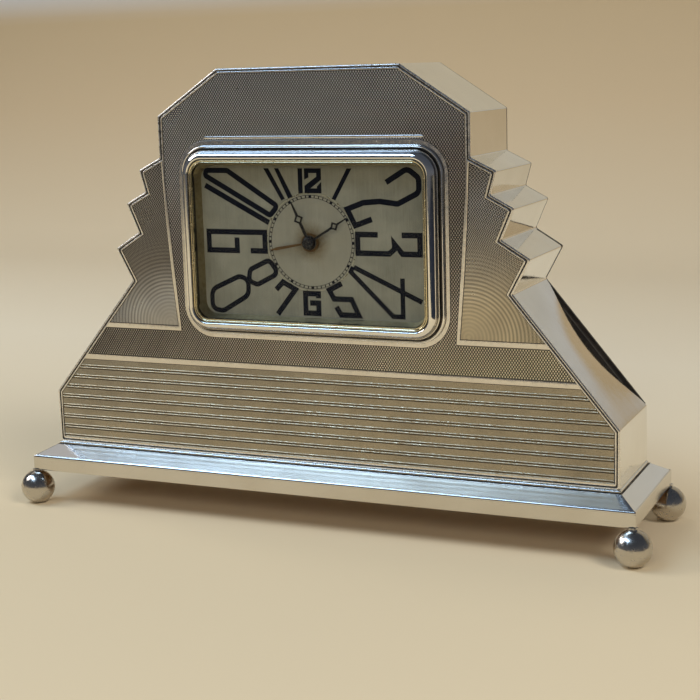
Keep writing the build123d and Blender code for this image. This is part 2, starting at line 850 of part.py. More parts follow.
# ---- Frame of the movement ----
plate_middle = (0.0, (plate_bottom + plate_top) / 2)
plate_size = (2 * plate_half_width, plate_top - plate_bottom)
pillar_thread = 1.1
winding_pivot = 1.2
winding_radius = 1.5
centre_radius = 1.0
set_radius = 0.6
hammer_radius = 0.9
train_pivots = [
    (third_at, 0.5),
    (fourth_at, 0.45),
    (escape_at, 0.35),
    (pallet_at, 0.35),
    (balance_at, 0.3),
    (verge_at, 0.5),
]
front_holes = [
    *train_pivots,
    (dial_centre, centre_radius),
    (time_at, winding_pivot),
    (alarm_at, winding_pivot),
    (alarm_set_at, set_radius),
    (hammer_at, hammer_radius),
]
back_holes = [
    *train_pivots,
    (dial_centre, centre_radius),
    (time_at, winding_radius),
    (alarm_at, winding_radius),
    (alarm_set_at, set_radius),
    (hammer_at, hammer_radius),
]

with BuildPart() as movement_front_plate:
    plate(plate_middle, plates_front, front_plate_rear, plate_size, 3.0)
    for point, radius in front_holes:
        bored(point, plates_front, front_plate_rear, radius + pivot_gap)
    for point in pillar_points:
        bored(point, plates_front, front_plate_rear, pillar_thread)
    for point in dial_foot_points:
        bored(point, plates_front, front_plate_rear, dial_foot + pivot_gap)
    turned(minute_wheel_at, (-15.4, front_plate_rear, 0.8))
save(movement_front_plate, "movement_front_plate")

boss_radius = 1.95
bell_stud = 1.1
bell_top = 16.1
strap_screw_x = 34.0
lever_stud = 1.0
regulator_front = plates_rear + 0.1

with BuildPart() as movement_back_plate:
    plate(plate_middle, back_plate_front, plates_rear, plate_size, 3.0)
    turned(balance_at, (plates_rear, plates_rear + 1.2, boss_radius))
    for point, radius in back_holes:
        bored(point, back_plate_front, plates_rear + 2.0, radius + pivot_gap)
    for point in pillar_points:
        bored(point, back_plate_front, plates_rear, pillar_thread)
    turned(
        bell_at,
        (plates_rear, 15.2, 1.8),
        (15.2, 17.7, bell_stud),
    )
    turned(
        stop_lever_at,
        (plates_rear, plates_rear + 1.3, lever_stud),
        (plates_rear + 1.3, plates_rear + 2.0, 1.8),
    )
save(movement_back_plate, "movement_back_plate")

with BuildPart() as pillars:
    for point in pillar_points:
        turned(
            point,
            (plates_front, front_plate_rear, pillar_thread),
            (front_plate_rear, back_plate_front, 2.0),
            (back_plate_front, plates_rear + 2.4, pillar_thread),
        )
save(pillars, "pillars")


def hexagon_nut(at, front):
    """A nut on a stud that runs along the clock's depth."""
    with BuildSketch(facing(front + nut_thickness)) as flats:
        with Locations(at):
            RegularPolygon(nut_radius, 6)
            Circle(pillar_thread, mode=Mode.SUBTRACT)
    slab(flats.sketch, front, front + nut_thickness)


with BuildPart() as nuts:
    for point in pillar_points:
        hexagon_nut(point, plates_rear)
    hexagon_nut(bell_at, bell_top + 0.1)
save(nuts, "nuts")

with BuildPart() as mounting_straps:
    for side in (-1, 1):
        reach = sorted((side * 30.0, side * cavity_half_width))
        wall = sorted((side * (cavity_half_width - strap_thickness), side * cavity_half_width))
        block(
            (reach[0], plates_rear, strap_height - strap_width / 2),
            (reach[1], plates_rear + strap_thickness, strap_height + strap_width / 2),
        )
        block(
            (wall[0], plates_rear, strap_height - strap_width / 2),
            (wall[1], board_front - 0.6, strap_height + strap_width / 2),
        )
        with BuildSketch(Plane.YZ.offset(side * cavity_half_width)) as clearance:
            with Locations((strap_screw_y, strap_height)):
                Circle(wood_screw_shank)
        extrude(clearance.sketch, amount=-side * strap_thickness, mode=Mode.SUBTRACT)
        bored(
            (side * strap_screw_x, strap_height),
            plates_rear,
            plates_rear + strap_thickness,
            wood_screw_shank,
        )
save(mounting_straps, "mounting_straps")

# ---- Hand setting ----
knob_front = 10.5
knob_rear = 16.6


def knurled_knob(at, radius, bore):
    """A coarse-edged knob on the rear end of an arbor."""
    toothed(at, knob_front, knob_rear - 1.0, 24, 2 * (radius - 0.2) / 24, 0)
    turned(at, (knob_rear - 1.0, knob_rear, radius - 0.6))
    turned(at, (knob_front - 1.0, knob_front, bore + 1.0))
    bored(at, knob_front - 1.0, knob_rear - 0.8, bore)


with BuildPart() as centre_arbor:
    turned(
        dial_centre,
        (minute_levels[0] - 0.4, plates_front, arbor_tip),
        (plates_front, knob_rear - 1.0, centre_radius),
        (5.9, 6.3, 2.4),
    )
save(centre_arbor, "centre_arbor")

with BuildPart() as hand_set_knob:
    knurled_knob(dial_centre, 4.2, centre_radius)
save(hand_set_knob, "hand_set_knob")

with BuildPart() as alarm_set_arbor:
    toothed(
        alarm_set_at, -16.3, -15.3, alarm_pinion_teeth, alarm_module, 0, pinion_tooth
    )
    turned(alarm_set_at, (-16.3, knob_rear - 1.0, set_radius))
    turned(alarm_set_at, (front_plate_rear + 0.1, front_plate_rear + 0.8, set_radius + 0.6))
save(alarm_set_arbor, "alarm_set_arbor")

with BuildPart() as alarm_set_knob:
    knurled_knob(alarm_set_at, 3.4, set_radius)
save(alarm_set_knob, "alarm_set_knob")

# ---- Going train ----
centre_wheel_levels = (4.4, 5.4)
time_wheel_levels = (-9.3, -8.0)
third_wheel_levels = (-3.0, -2.1)
fourth_wheel_levels = (0.6, 1.4)
centre_pinion_turn = meshed(time_at, great_teeth, 0, dial_centre, centre_pinion_teeth)
third_pinion_turn = meshed(dial_centre, centre_teeth, 0, third_at, leaves)
fourth_pinion_turn = meshed(third_at, third_teeth, 0, fourth_at, leaves)
escape_pinion_turn = meshed(fourth_at, fourth_teeth, 0, escape_at, leaves)


def arbor(at, pivot, radius):
    """A plain arbor with a pivot in each plate."""
    turned(
        at,
        (plates_front + 0.3, front_plate_rear, pivot),
        (front_plate_rear + 0.1, back_plate_front - 0.1, radius),
        (back_plate_front - 0.1, plates_rear - 0.3, pivot),
        (front_plate_rear - 0.1, front_plate_rear + 0.1, pivot),
    )


with BuildPart() as centre_wheel:
    toothed(dial_centre, *centre_wheel_levels, centre_teeth, centre_module, 0)
    crossed_out(dial_centre, *centre_wheel_levels, 3.0, 7.8, 5, 1.3)
    toothed(
        dial_centre,
        -9.7,
        -7.6,
        centre_pinion_teeth,
        great_module,
        centre_pinion_turn,
        pinion_tooth,
    )
    turned(dial_centre, (-10.2, centre_wheel_levels[0], 1.9))
    bored(dial_centre, -10.2, centre_wheel_levels[1], centre_radius + pivot_gap)
save(centre_wheel, "centre_wheel")

with BuildPart() as third_wheel:
    toothed(third_at, *third_wheel_levels, third_teeth, third_module, 0)
    crossed_out(third_at, *third_wheel_levels, 2.2, 6.8, 5, 1.1)
    toothed(third_at, 3.9, 5.8, leaves, centre_module, third_pinion_turn, pinion_tooth)
    arbor(third_at, 0.5, 0.8)
save(third_wheel, "third_wheel")

with BuildPart() as fourth_wheel:
    toothed(fourth_at, *fourth_wheel_levels, fourth_teeth, fourth_module, 0)
    crossed_out(fourth_at, *fourth_wheel_levels, 2.0, 6.5, 5, 1.0)
    toothed(fourth_at, -3.5, -1.6, leaves, third_module, fourth_pinion_turn, pinion_tooth)
    arbor(fourth_at, 0.45, 0.7)
save(fourth_wheel, "fourth_wheel")

escape_wheel_levels = (3.0, 3.5)
escape_wheel_radius = 4.2

with BuildPart() as escape_wheel:
    escape_teeth = 15
    with BuildSketch(facing(escape_wheel_levels[1])) as profile:
        with BuildLine():
            rim = []
            for number in range(escape_teeth):
                start = number * 360 / escape_teeth
                rim.append(from_point(escape_at, escape_wheel_radius, start))
                rim.append(from_point(escape_at, escape_wheel_radius, start + 4))
                rim.append(from_point(escape_at, escape_wheel_radius - 1.1, start + 9))
                rim.append(from_point(escape_at, escape_wheel_radius - 1.1, start + 20))
            Polyline(*rim, close=True)
        make_face()
    slab(profile.sketch, *escape_wheel_levels)
    crossed_out(escape_at, *escape_wheel_levels, 1.2, 2.5, 3, 0.6)
    toothed(escape_at, 0.1, 1.9, leaves, fourth_module, escape_pinion_turn, pinion_tooth)
    arbor(escape_at, 0.35, 0.6)
save(escape_wheel, "escape_wheel")

# Pallet lever: two upright pins beside the escape wheel and a fork towards the balance
lever_levels = (3.8, 4.5)
pin_reach = 4.95
pin_points = [from_point(escape_at, pin_reach, 190 + side * 52) for side in (-1, 1)]
fork_end = from_point(pallet_at, 4.6, 190)

with BuildPart() as pallet_fork:
    bar(pallet_at, fork_end, *lever_levels, 1.4)
    for point in pin_points:
        bar(pallet_at, point, *lever_levels, 1.2)
        turned(point, (escape_wheel_levels[0], lever_levels[0], 0.2))
    arbor(pallet_at, 0.35, 0.5)
save(pallet_fork, "pallet_fork")

balance_levels = (-4.6, -3.4)
balance_radius = 7.2

with BuildPart() as balance_wheel:
    turned(balance_at, (*balance_levels, balance_radius))
    crossed_out(balance_at, *balance_levels, 1.4, balance_radius - 1.1, 3, 0.9)
    turned(balance_at, (2.2, 2.8, 1.9))
    arbor(balance_at, 0.3, 0.6)
    turned(from_point(balance_at, 1.5, 10), (2.8, 3.2, 0.2))
save(balance_wheel, "balance_wheel")

with BuildPart() as hairspring:
    wound_strip(balance_at, 4.9, 5.7, 1.0, 0.16, 0.7, 9)
    turned((balance_at[0] - 3.88, balance_at[1]), (4.9, back_plate_front, 0.35))
save(hairspring, "hairspring")

with BuildPart() as regulator:
    turned(balance_at, (regulator_front, plates_rear + 0.9, 3.2))
    with BuildSketch(facing(plates_rear + 0.9)) as pointer:
        with BuildLine():
            Polyline(
                from_point(balance_at, 2.4, 75),
                from_point(balance_at, 10.5, 89),
                from_point(balance_at, 10.5, 91),
                from_point(balance_at, 2.4, 105),
                close=True,
            )
        make_face()
    slab(pointer.sketch, regulator_front, plates_rear + 0.9)
    bored(balance_at, regulator_front, plates_rear + 0.9, boss_radius + pivot_gap)
save(regulator, "regulator")

# ---- Mainsprings, great wheels, winding arbors and keys: the going side and the alarm side ----
key_front = 9.6
key_rear = 17.4
key_wing = 8.4
mainspring_inner = 3.4
mainspring_pitch = 1.8
mainspring_half_turns = 12


def winding_side(name, at, wheel_levels, spring_levels):
    """A great wheel, its open mainspring, the arbor that winds it and the arbor's key."""
    with BuildPart() as great_wheel:
        toothed(at, *wheel_levels, great_teeth, great_module, 0)
        crossed_out(at, *wheel_levels, 4.5, 14.5, 5, 2.4)
        bored(at, *wheel_levels, winding_radius + pivot_gap)
    save(great_wheel, f"{name}_great_wheel")

    with BuildPart() as mainspring:
        wound_strip(
            at,
            *spring_levels,
            mainspring_inner,
            0.5,
            mainspring_pitch,
            mainspring_half_turns,
        )
    save(mainspring, f"{name}_mainspring")

    with BuildPart() as winding_arbor:
        turned(
            at,
            (plates_front + 0.2, front_plate_rear + 0.1, winding_pivot),
            (front_plate_rear + 0.1, key_front, winding_radius),
            (key_front, key_rear - 1.2, winding_pivot),
            (spring_levels[0], spring_levels[1], 2.9),
        )
    save(winding_arbor, f"{name}_arbor")

    with BuildPart() as key:
        turned(at, (key_front, key_rear - 0.6, 2.5))
        with BuildSketch(Plane.XY.offset(at[1] - 0.7)) as wings:
            with Locations((at[0], (key_front + key_rear + 1.6) / 2)):
                RectangleRounded(2 * key_wing, key_rear - key_front - 1.6, 2.8)
        extrude(wings.sketch, amount=1.4)
        bored(at, key_front, key_rear - 1.2, winding_pivot)
    save(key, f"{name}_key")


winding_side("time", time_at, time_wheel_levels, (-7.0, 3.2))
alarm_great_levels = (-6.8, -5.5)
winding_side("alarm", alarm_at, alarm_great_levels, (-4.6, 3.2))

# ---- Alarm: verge wheel, hammer, bell and the lever that silences it ----
verge_levels = (4.4, 5.2)
verge_teeth = 24
verge_radius = 6.4
verge_pinion_turn = meshed(alarm_at, great_teeth, 0, verge_at, verge_pinion_teeth)

with BuildPart() as alarm_verge_wheel:
    with BuildSketch(facing(verge_levels[1])) as profile:
        with BuildLine():
            rim = []
            for number in range(verge_teeth):
                start = number * 360 / verge_teeth
                rim.append(from_point(verge_at, verge_radius, start))
                rim.append(from_point(verge_at, verge_radius - 1.2, start + 3))
            Polyline(*rim, close=True)
        make_face()
    slab(profile.sketch, *verge_levels)
    crossed_out(verge_at, *verge_levels, 1.8, 4.2, 4, 0.9)
    toothed(
        verge_at,
        -7.3,
        -5.0,
        verge_pinion_teeth,
        great_module,
        verge_pinion_turn,
        pinion_tooth,
    )
    arbor(verge_at, 0.5, 0.9)
save(alarm_verge_wheel, "alarm_verge_wheel")

hammer_rear = 12.2
hammer_head_at = (21.9, 125.5)
hammer_head = 2.4
anchor_angle = math.degrees(math.atan2(verge_at[1] - hammer_at[1], verge_at[0] - hammer_at[0]))

with BuildPart() as hammer:
    turned(
        hammer_at,
        (plates_front + 0.3, hammer_rear, hammer_radius),
        (front_plate_rear + 0.1, front_plate_rear + 0.9, hammer_radius + 0.6),
        (9.8, hammer_rear, 1.8),
    )
    for side in (-1, 1):
        elbow = from_point(hammer_at, 4.4, anchor_angle + side * 90)
        bar(hammer_at, elbow, *verge_levels, 1.6)
        bar(elbow, from_point(elbow, 1.8, anchor_angle), *verge_levels, 1.2)
    bar(hammer_at, hammer_head_at, 10.8, 11.8, 1.8)
    turned(hammer_head_at, (9.9, 14.4, hammer_head))
save(hammer, "hammer")

bell_rim = 9.8
bell_radius = 14.0
bell_wall = 0.9

with BuildPart() as bell:
    with BuildSketch(Plane(origin=(bell_at[0], 0, bell_at[1]))):
        with BuildLine():
            outer = ThreePointArc((bell_radius, bell_rim), (10.6, 14.1), (2.0, bell_top))
            top = Line(outer @ 1, (bell_stud, bell_top))
            hole = Line(top @ 1, (bell_stud, bell_top - bell_wall))
            under = Line(hole @ 1, (2.0, bell_top - bell_wall))
            inner = ThreePointArc(under @ 1, (9.8, 13.4), (bell_radius - bell_wall, bell_rim))
            Line(inner @ 1, outer @ 0)
        make_face()
    revolve(axis=Axis((bell_at[0], 0, bell_at[1]), (0, 1, 0)))
save(bell, "bell")

with BuildPart() as alarm_stop_lever:
    turned(stop_lever_at, (plates_rear + 0.1, plates_rear + 1.2, 2.6))
    block(
        (stop_lever_at[0] - 1.2, plates_rear + 0.1, stop_lever_at[1] - 9.4),
        (stop_lever_at[0] + 1.2, plates_rear + 1.2, stop_lever_at[1]),
    )
    block(
        (stop_lever_at[0] - 1.8, plates_rear + 0.1, stop_lever_at[1] - 10.4),
        (stop_lever_at[0] + 1.8, plates_rear + 6.5, stop_lever_at[1] - 9.2),
    )
    bored(stop_lever_at, plates_rear, plates_rear + 2.0, lever_stud + pivot_gap)
save(alarm_stop_lever, "alarm_stop_lever")
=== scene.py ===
import math

import bmesh
import bpy
from mathutils import Matrix, Vector, geometry


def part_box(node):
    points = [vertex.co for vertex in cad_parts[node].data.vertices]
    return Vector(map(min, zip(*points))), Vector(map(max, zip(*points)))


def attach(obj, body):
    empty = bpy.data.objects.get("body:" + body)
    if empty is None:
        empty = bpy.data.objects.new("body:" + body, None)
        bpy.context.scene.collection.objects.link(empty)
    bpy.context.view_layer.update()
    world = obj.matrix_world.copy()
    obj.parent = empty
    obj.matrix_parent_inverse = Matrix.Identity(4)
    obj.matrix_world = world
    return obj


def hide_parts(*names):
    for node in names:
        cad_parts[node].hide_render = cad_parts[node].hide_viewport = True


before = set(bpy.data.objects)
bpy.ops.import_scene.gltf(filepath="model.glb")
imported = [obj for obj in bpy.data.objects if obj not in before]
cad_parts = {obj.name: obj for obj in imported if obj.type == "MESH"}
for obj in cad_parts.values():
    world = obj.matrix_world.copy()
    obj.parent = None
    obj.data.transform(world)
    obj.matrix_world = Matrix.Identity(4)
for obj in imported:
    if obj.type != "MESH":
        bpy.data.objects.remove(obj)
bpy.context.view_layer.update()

MM = 0.001


# -------- sizes in millimetres, taken from the frame

def corners(node):
    """Lowest and highest corner of a CAD node in millimetres."""
    low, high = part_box(node)
    return low / MM, high / MM


front_low = corners("front_plate")[0]
band_high = corners("side_band")[1]
bezel_low, bezel_high = corners("bezel")
ring_low, ring_high = corners("glass_ring")
plinth_low, plinth_high = corners("plinth_shell")
dial_low, dial_high = corners("dial")

BASE = front_low.z
FRONT = front_low.y
SHEET = 0.8
DIAL_Z = (dial_low.z + dial_high.z) / 2

# Half of the stepped outline, from the foot of the right side up to the top, above the body's base.
HALF_OUTLINE = [
    (107.0, 0.0), (107.0, 19.6), (71.6, 62.3), (77.7, 73.8), (68.0, 79.8), (72.4, 90.0),
    (64.4, 94.3), (66.5, 102.0), (57.8, 106.3), (57.8, 120.8), (33.8, 136.6),
]
OUTLINE = [(x, BASE + z) for x, z in HALF_OUTLINE]
OUTLINE += [(-x, z) for x, z in reversed(OUTLINE)]
OUTLINE_CORNER = 0.7


# -------- plane outlines

def drawn_in(loop, inset):
    """A closed counter-clockwise loop with every side moved inwards by inset, corners mitred."""
    moved = []
    count = len(loop)
    for i in range(count):
        before, here, after = (Vector(loop[(i + k) % count]) for k in (-1, 0, 1))
        first = (here - before).normalized()
        second = (after - here).normalized()
        normal_a = Vector((-first.y, first.x))
        normal_b = Vector((-second.y, second.x))
        middle = normal_a + normal_b
        moved.append(tuple(here + middle * (inset / (1 + normal_a.dot(normal_b)))))
    return moved


def rounded(loop, radius, steps=4, closed=True):
    """The loop with each corner turned into an arc of the given radius, or less where a side is short."""
    count = len(loop)
    points = []
    for i in range(count):
        here = Vector(loop[i])
        if not closed and i in (0, count - 1):
            points.append(tuple(here))
            continue
        to_before = Vector(loop[i - 1]) - here
        to_after = Vector(loop[(i + 1) % count]) - here
        half = to_before.angle(to_after) / 2
        reach = min(radius / math.tan(half), 0.45 * to_before.length, 0.45 * to_after.length)
        true_radius = reach * math.tan(half)
        inwards = (to_before.normalized() + to_after.normalized()).normalized()
        centre = here + inwards * (true_radius / math.sin(half))
        start = here + to_before.normalized() * reach - centre
        end = here + to_after.normalized() * reach - centre
        turn = start.angle_signed(end)
        for step in range(steps + 1):
            spun = start.copy()
            spun.rotate(Matrix.Rotation(-turn * step / steps, 2))
            points.append(tuple(centre + spun))
    return points


def rounded_rectangle(half_width, half_height, radius, steps=12, centre=(0.0, 0.0)):
    """A closed counter-clockwise rectangle with round corners."""
    points = []
    for corner, (side_x, side_z) in enumerate(((1, 1), (-1, 1), (-1, -1), (1, -1))):
        for step in range(steps + 1):
            angle = math.radians(90 * corner + 90 * step / steps)
            points.append((
                centre[0] + side_x * (half_width - radius) + radius * math.cos(angle),
                centre[1] + side_z * (half_height - radius) + radius * math.sin(angle),
            ))
    return points


def mirrored(loop):
    return [(-x, z) for x, z in reversed(loop)]


# -------- meshes

class Builder:
    """Collects vertices in millimetres, and faces with a material number each."""

    def __init__(self):
        self.points = []
        self.faces = []
        self.kinds = []

    def add(self, points):
        first = len(self.points)
        self.points += [tuple(p) for p in points]
        return list(range(first, first + len(points)))

    def face(self, vertices, kind=0):
        self.faces.append(tuple(vertices))
        self.kinds.append(kind)

    def bridge(self, row_a, row_b, closed=True, kind=0):
        """Quads between two rows of equal length."""
        count = len(row_a)
        for i in range(count if closed else count - 1):
            j = (i + 1) % count
            self.face((row_a[i], row_a[j], row_b[j], row_b[i]), kind)

    def rows(self, rows, closed=True, kind=0, special=()):
        """Adds rows of points and joins each to the next. Returns the rows' vertex numbers.
        special gives (joins, material) pairs for the joins that don't have the common material."""
        kinds = {join: other for joins, other in special for join in joins}
        numbers = [self.add(row) for row in rows]
        for i, (a, b) in enumerate(zip(numbers, numbers[1:])):
            self.bridge(a, b, closed, kinds.get(i, kind))
        return numbers

    def fill(self, loops, kind=0):
        """Fills between an outer loop and its holes, given as vertex numbers of points at one depth."""
        flat = [
            [Vector((self.points[n][0], self.points[n][2], 0)) for n in loop]
            for loop in loops
        ]
        numbers = [n for loop in loops for n in loop]
        for triangle in geometry.tessellate_polygon(flat):
            self.face([numbers[t] for t in triangle], kind)

    def piece(self, name, materials, body, slot, replaces=(), angle=35.0, weld=True):
        """Makes the object, welded and smooth-shaded, riding on its body."""
        data = bpy.data.meshes.new(name)
        data.from_pydata([[c * MM for c in p] for p in self.points], [], self.faces)
        for material in materials:
            data.materials.append(material)
        data.polygons.foreach_set("material_index", self.kinds)
        work = bmesh.new()
        work.from_mesh(data)
        if weld:
            bmesh.ops.remove_doubles(work, verts=work.verts, dist=0.002 * MM)
        bmesh.ops.dissolve_degenerate(work, edges=work.edges, dist=0.0005 * MM)
        bmesh.ops.recalc_face_normals(work, faces=work.faces)
        work.to_mesh(data)
        work.free()
        data.polygons.foreach_set("use_smooth", [True] * len(data.polygons))
        data.set_sharp_from_angle(angle=math.radians(angle))
        made = put_in_scene(name, data)
        made.modifiers.new("flat_faces_lead", "WEIGHTED_NORMAL").keep_sharp = True
        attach(made, body)
        if replaces:
            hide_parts(*replaces)
        return made


def put_in_scene(name, data):
    made = bpy.data.objects.new(name, data)
    bpy.context.scene.collection.objects.link(made)
    return made


def at_depth(loop, y):
    """A plane outline as points at depth y."""
    return [(x, y, z) for x, z in loop]


# -------- materials

def set_stops(ramp, stops):
    """Fills a colour ramp with (position, colour) stops."""
    while len(ramp.elements) < len(stops):
        ramp.elements.new(0.5)
    for element, (position, colour) in zip(ramp.elements, stops):
        element.position = position
        element.color = (*colour, 1.0)


class Look:
    """A node material around one Principled shader, with coordinates in millimetres of the row frame."""

    def __init__(self, name, colour, metallic=0.0, roughness=0.5):
        self.material = bpy.data.materials.new(name)
        self.material.use_nodes = True
        self.tree = self.material.node_tree
        self.shader = self.tree.nodes["Principled BSDF"]
        self.shader.inputs["Base Color"].default_value = (*colour, 1.0)
        self.shader.inputs["Metallic"].default_value = metallic
        self.shader.inputs["Roughness"].default_value = roughness
        place = self.tree.nodes.new("ShaderNodeTexCoord")
        scale = self.tree.nodes.new("ShaderNodeVectorMath")
        scale.operation = "SCALE"
        scale.inputs["Scale"].default_value = 1 / MM
        self.link(place.outputs["Object"], scale.inputs[0])
        self.here = scale.outputs[0]

    def link(self, start, end):
        self.tree.links.new(start, end)

    def set(self, socket, value):
        if isinstance(value, bpy.types.NodeSocket):
            self.link(value, socket)
        else:
            socket.default_value = value

    def math(self, operation, a, b=0.0, c=0.0, clamp=False):
        node = self.tree.nodes.new("ShaderNodeMath")
        node.operation = operation
        node.use_clamp = clamp
        for socket, value in zip(node.inputs, (a, b, c)):
            self.set(socket, value)
        return node.outputs[0]

    def plus(self, a, b):
        return self.math("ADD", a, b)

    def minus(self, a, b):
        return self.math("SUBTRACT", a, b)

    def times(self, a, b):
        return self.math("MULTIPLY", a, b)

    def wave(self, turn):
        return self.math("SINE", turn)

    def reach(self, a, b):
        """The distance that two right-angled offsets make."""
        return self.math("SQRT", self.plus(self.times(a, a), self.times(b, b)))

    def xyz(self):
        node = self.tree.nodes.new("ShaderNodeSeparateXYZ")
        self.link(self.here, node.inputs[0])
        return node.outputs

    def stretched(self, factors):
        """The place in millimetres, multiplied by a factor along each axis."""
        node = self.tree.nodes.new("ShaderNodeVectorMath")
        node.operation = "MULTIPLY"
        self.link(self.here, node.inputs[0])
        node.inputs[1].default_value = factors
        return node.outputs[0]

    def noise(self, scale, detail=3.0, stretch=None, rough=0.5, distortion=0.0):
        node = self.tree.nodes.new("ShaderNodeTexNoise")
        self.link(self.stretched(stretch) if stretch else self.here, node.inputs["Vector"])
        node.inputs["Scale"].default_value = scale
        node.inputs["Detail"].default_value = detail
        node.inputs["Roughness"].default_value = rough
        node.inputs["Distortion"].default_value = distortion
        return node.outputs[0]

    def ramp(self, value, stops):
        node = self.tree.nodes.new("ShaderNodeValToRGB")
        self.link(value, node.inputs[0])
        set_stops(node.color_ramp, stops)
        return node.outputs[0]

    def span(self, value, low, high, to_low=0.0, to_high=1.0):
        """The value carried from one range to another, and held at its ends."""
        node = self.tree.nodes.new("ShaderNodeMapRange")
        for socket, number in zip(node.inputs, (value, low, high, to_low, to_high)):
            self.set(socket, number)
        return node.outputs[0]

    def mix(self, factor, a, b, kind="MIX"):
        node = self.tree.nodes.new("ShaderNodeMix")
        node.data_type = "RGBA"
        node.blend_type = kind
        self.set(node.inputs[0], factor)
        for socket, value in ((node.inputs[6], a), (node.inputs[7], b)):
            self.set(socket, (*value, 1.0) if isinstance(value, tuple) else value)
        return node.outputs[2]

    def colour(self, value):
        self.link(value, self.shader.inputs["Base Color"])

    def roughness(self, value):
        self.link(value, self.shader.inputs["Roughness"])

    def bump(self, height, distance, under=None):
        """A bump of the given height in millimetres, on top of another bump's normal."""
        node = self.tree.nodes.new("ShaderNodeBump")
        node.inputs["Distance"].default_value = distance * MM
        self.link(height, node.inputs["Height"])
        if under is not None:
            self.link(under, node.inputs["Normal"])
        self.link(node.outputs[0], self.shader.inputs["Normal"])
        return node.outputs[0]


def polished_silver(name, colour, rough=0.07, dents=0.05, tarnish=0.35, scratch=0.0016, uneven=1.0):
    """Worn polished silver: faint dents that bend its reflections, fine scratches and warm tarnish."""
    look = Look(name, colour, 1.0, rough)
    cloud = look.noise(0.035, 4.0)
    specks = look.noise(0.6, 5.0, rough=0.65)
    dark = tuple(c * k for c, k in zip(colour, (0.72, 0.66, 0.56)))
    stain = look.times(look.span(cloud, 0.45, 0.75), tarnish)
    spots = look.span(specks, 0.68, 0.80, 0.0, 0.35 * uneven)
    spotted = look.math("ADD", stain, spots, clamp=True)
    look.colour(look.mix(spotted, colour, dark))
    smoothest, roughest = rough * (1 - 0.3 * uneven), rough * (1 + 1.2 * uneven)
    look.roughness(look.span(specks, 0.35, 0.75, smoothest, roughest))
    waves = look.bump(look.noise(0.09, 1.5), dents)
    scratches = look.noise(1.0, 2.0, stretch=(0.35, 2.2, 5.0))
    look.bump(scratches, scratch, under=waves)
    return look.material


# Painted reflection: the heights, about the dial's middle, over which the chased silver's colour passes from
# one reflected tint to the next.
REFLECTION_PAINT_LOW, REFLECTION_PAINT_HIGH = -60.0, 40.0


def engine_turned(name, height, depth, light, dark, painted_reflection_tints, rough=0.30):
    """Finely cut silver. height(look) gives the cut pattern between 0 and 1, dark in its grooves: tarnish,
    and painted shade under the reeds.
    The painted_reflection_tints follow each other upwards and to the left: painted reflection of the
    surroundings the silver mirrors."""
    look = Look(name, light, 1.0, rough)
    cut = height(look)
    cloud = look.noise(0.05, 5.0, rough=0.6)
    x, _, z = look.xyz()
    slant = look.minus(z, look.times(x, 0.3))
    level = look.span(slant, DIAL_Z + REFLECTION_PAINT_LOW, DIAL_Z + REFLECTION_PAINT_HIGH)
    tone = look.mix(cut, dark, light)
    # Painted reflection: the colour is multiplied by a tint that depends on height and side.
    tone = look.mix(1.0, tone, look.ramp(level, painted_reflection_tints), "MULTIPLY")
    patch = look.mix(look.span(cloud, 0.40, 0.70), (1.0, 1.0, 1.0), (0.84, 0.83, 0.82))
    look.colour(look.mix(1.0, tone, patch, "MULTIPLY"))
    look.roughness(look.span(cloud, 0.3, 0.8, rough * 0.85, rough * 1.3))
    look.bump(cut, depth)
    return look.material


def barleycorn(look, across=0.95, up=1.4):
    """Small staggered diamonds."""
    x, _, z = look.xyz()
    a = look.times(x, math.pi / across)
    b = look.times(z, math.pi / up)
    first = look.math("ABSOLUTE", look.wave(look.plus(a, b)))
    second = look.math("ABSOLUTE", look.wave(look.minus(a, b)))
    return look.span(look.times(first, second), 0.12, 0.85)


SUNBURST = (56.5, BASE + 47.5)


def sunburst(look, rays=300.0, ring=1.30, sway=2.6):
    """Fine rays from the inner foot of each wing, every ray swaying from ring to ring."""
    x, _, z = look.xyz()
    dx = look.minus(look.math("ABSOLUTE", x), SUNBURST[0])
    dz = look.minus(z, SUNBURST[1])
    reach = look.reach(dx, dz)
    angle = look.math("ARCTAN2", dz, dx)
    rings = look.wave(look.times(reach, math.tau / ring))
    swing = look.times(rings, sway)
    ray = look.wave(look.plus(look.times(angle, rays), swing))
    far = look.span(reach, 14.0, 34.0)
    growing = look.span(reach, 4.0, 16.0, 0.10, 0.55)
    near = look.times(look.minus(1.0, far), growing)
    rays_part = look.times(look.span(ray, -0.6, 0.6, -0.75, 0.6), far)
    rings_part = look.times(look.span(rings, -1.0, 1.0, -0.5, 0.5), near)
    level = look.span(far, 0.0, 1.0, 0.72, 0.5)
    return look.plus(look.plus(rays_part, rings_part), level)


REED_PITCH = 3.86
REED_WIDTH = 0.42
REED_HEIGHT = 0.13
REED_GAP = 0.95
REED_FIRST = BASE + 2.4


def fine_reeds(look):
    """Short ragged cuts on the ground, and a dark line of painted shade along the lower foot of each reed,
    where its shadow falls.
    """
    z = look.xyz()[2]
    short_cuts = look.noise(1.0, 2.0, stretch=(2.4, 1.0, 6.0), rough=0.6)
    ground = look.span(short_cuts, 0.34, 0.66, 0.60, 1.0)
    turns = look.math("DIVIDE", look.minus(z, REED_FIRST), REED_PITCH)
    offset = look.times(look.math("WRAP", turns, 0.5, -0.5), REED_PITCH)
    # Painted shade: a dark line just below each reed, standing in for its shadow.
    below = REED_WIDTH / 2 + 0.08
    low_foot = look.math("ABSOLUTE", look.plus(offset, below + REED_GAP / 2))
    high_foot = look.math("ABSOLUTE", look.plus(offset, below - REED_GAP / 2))
    foot = look.span(look.math("MINIMUM", low_foot, high_foot), 0.10, 0.24)
    return look.times(ground, foot)


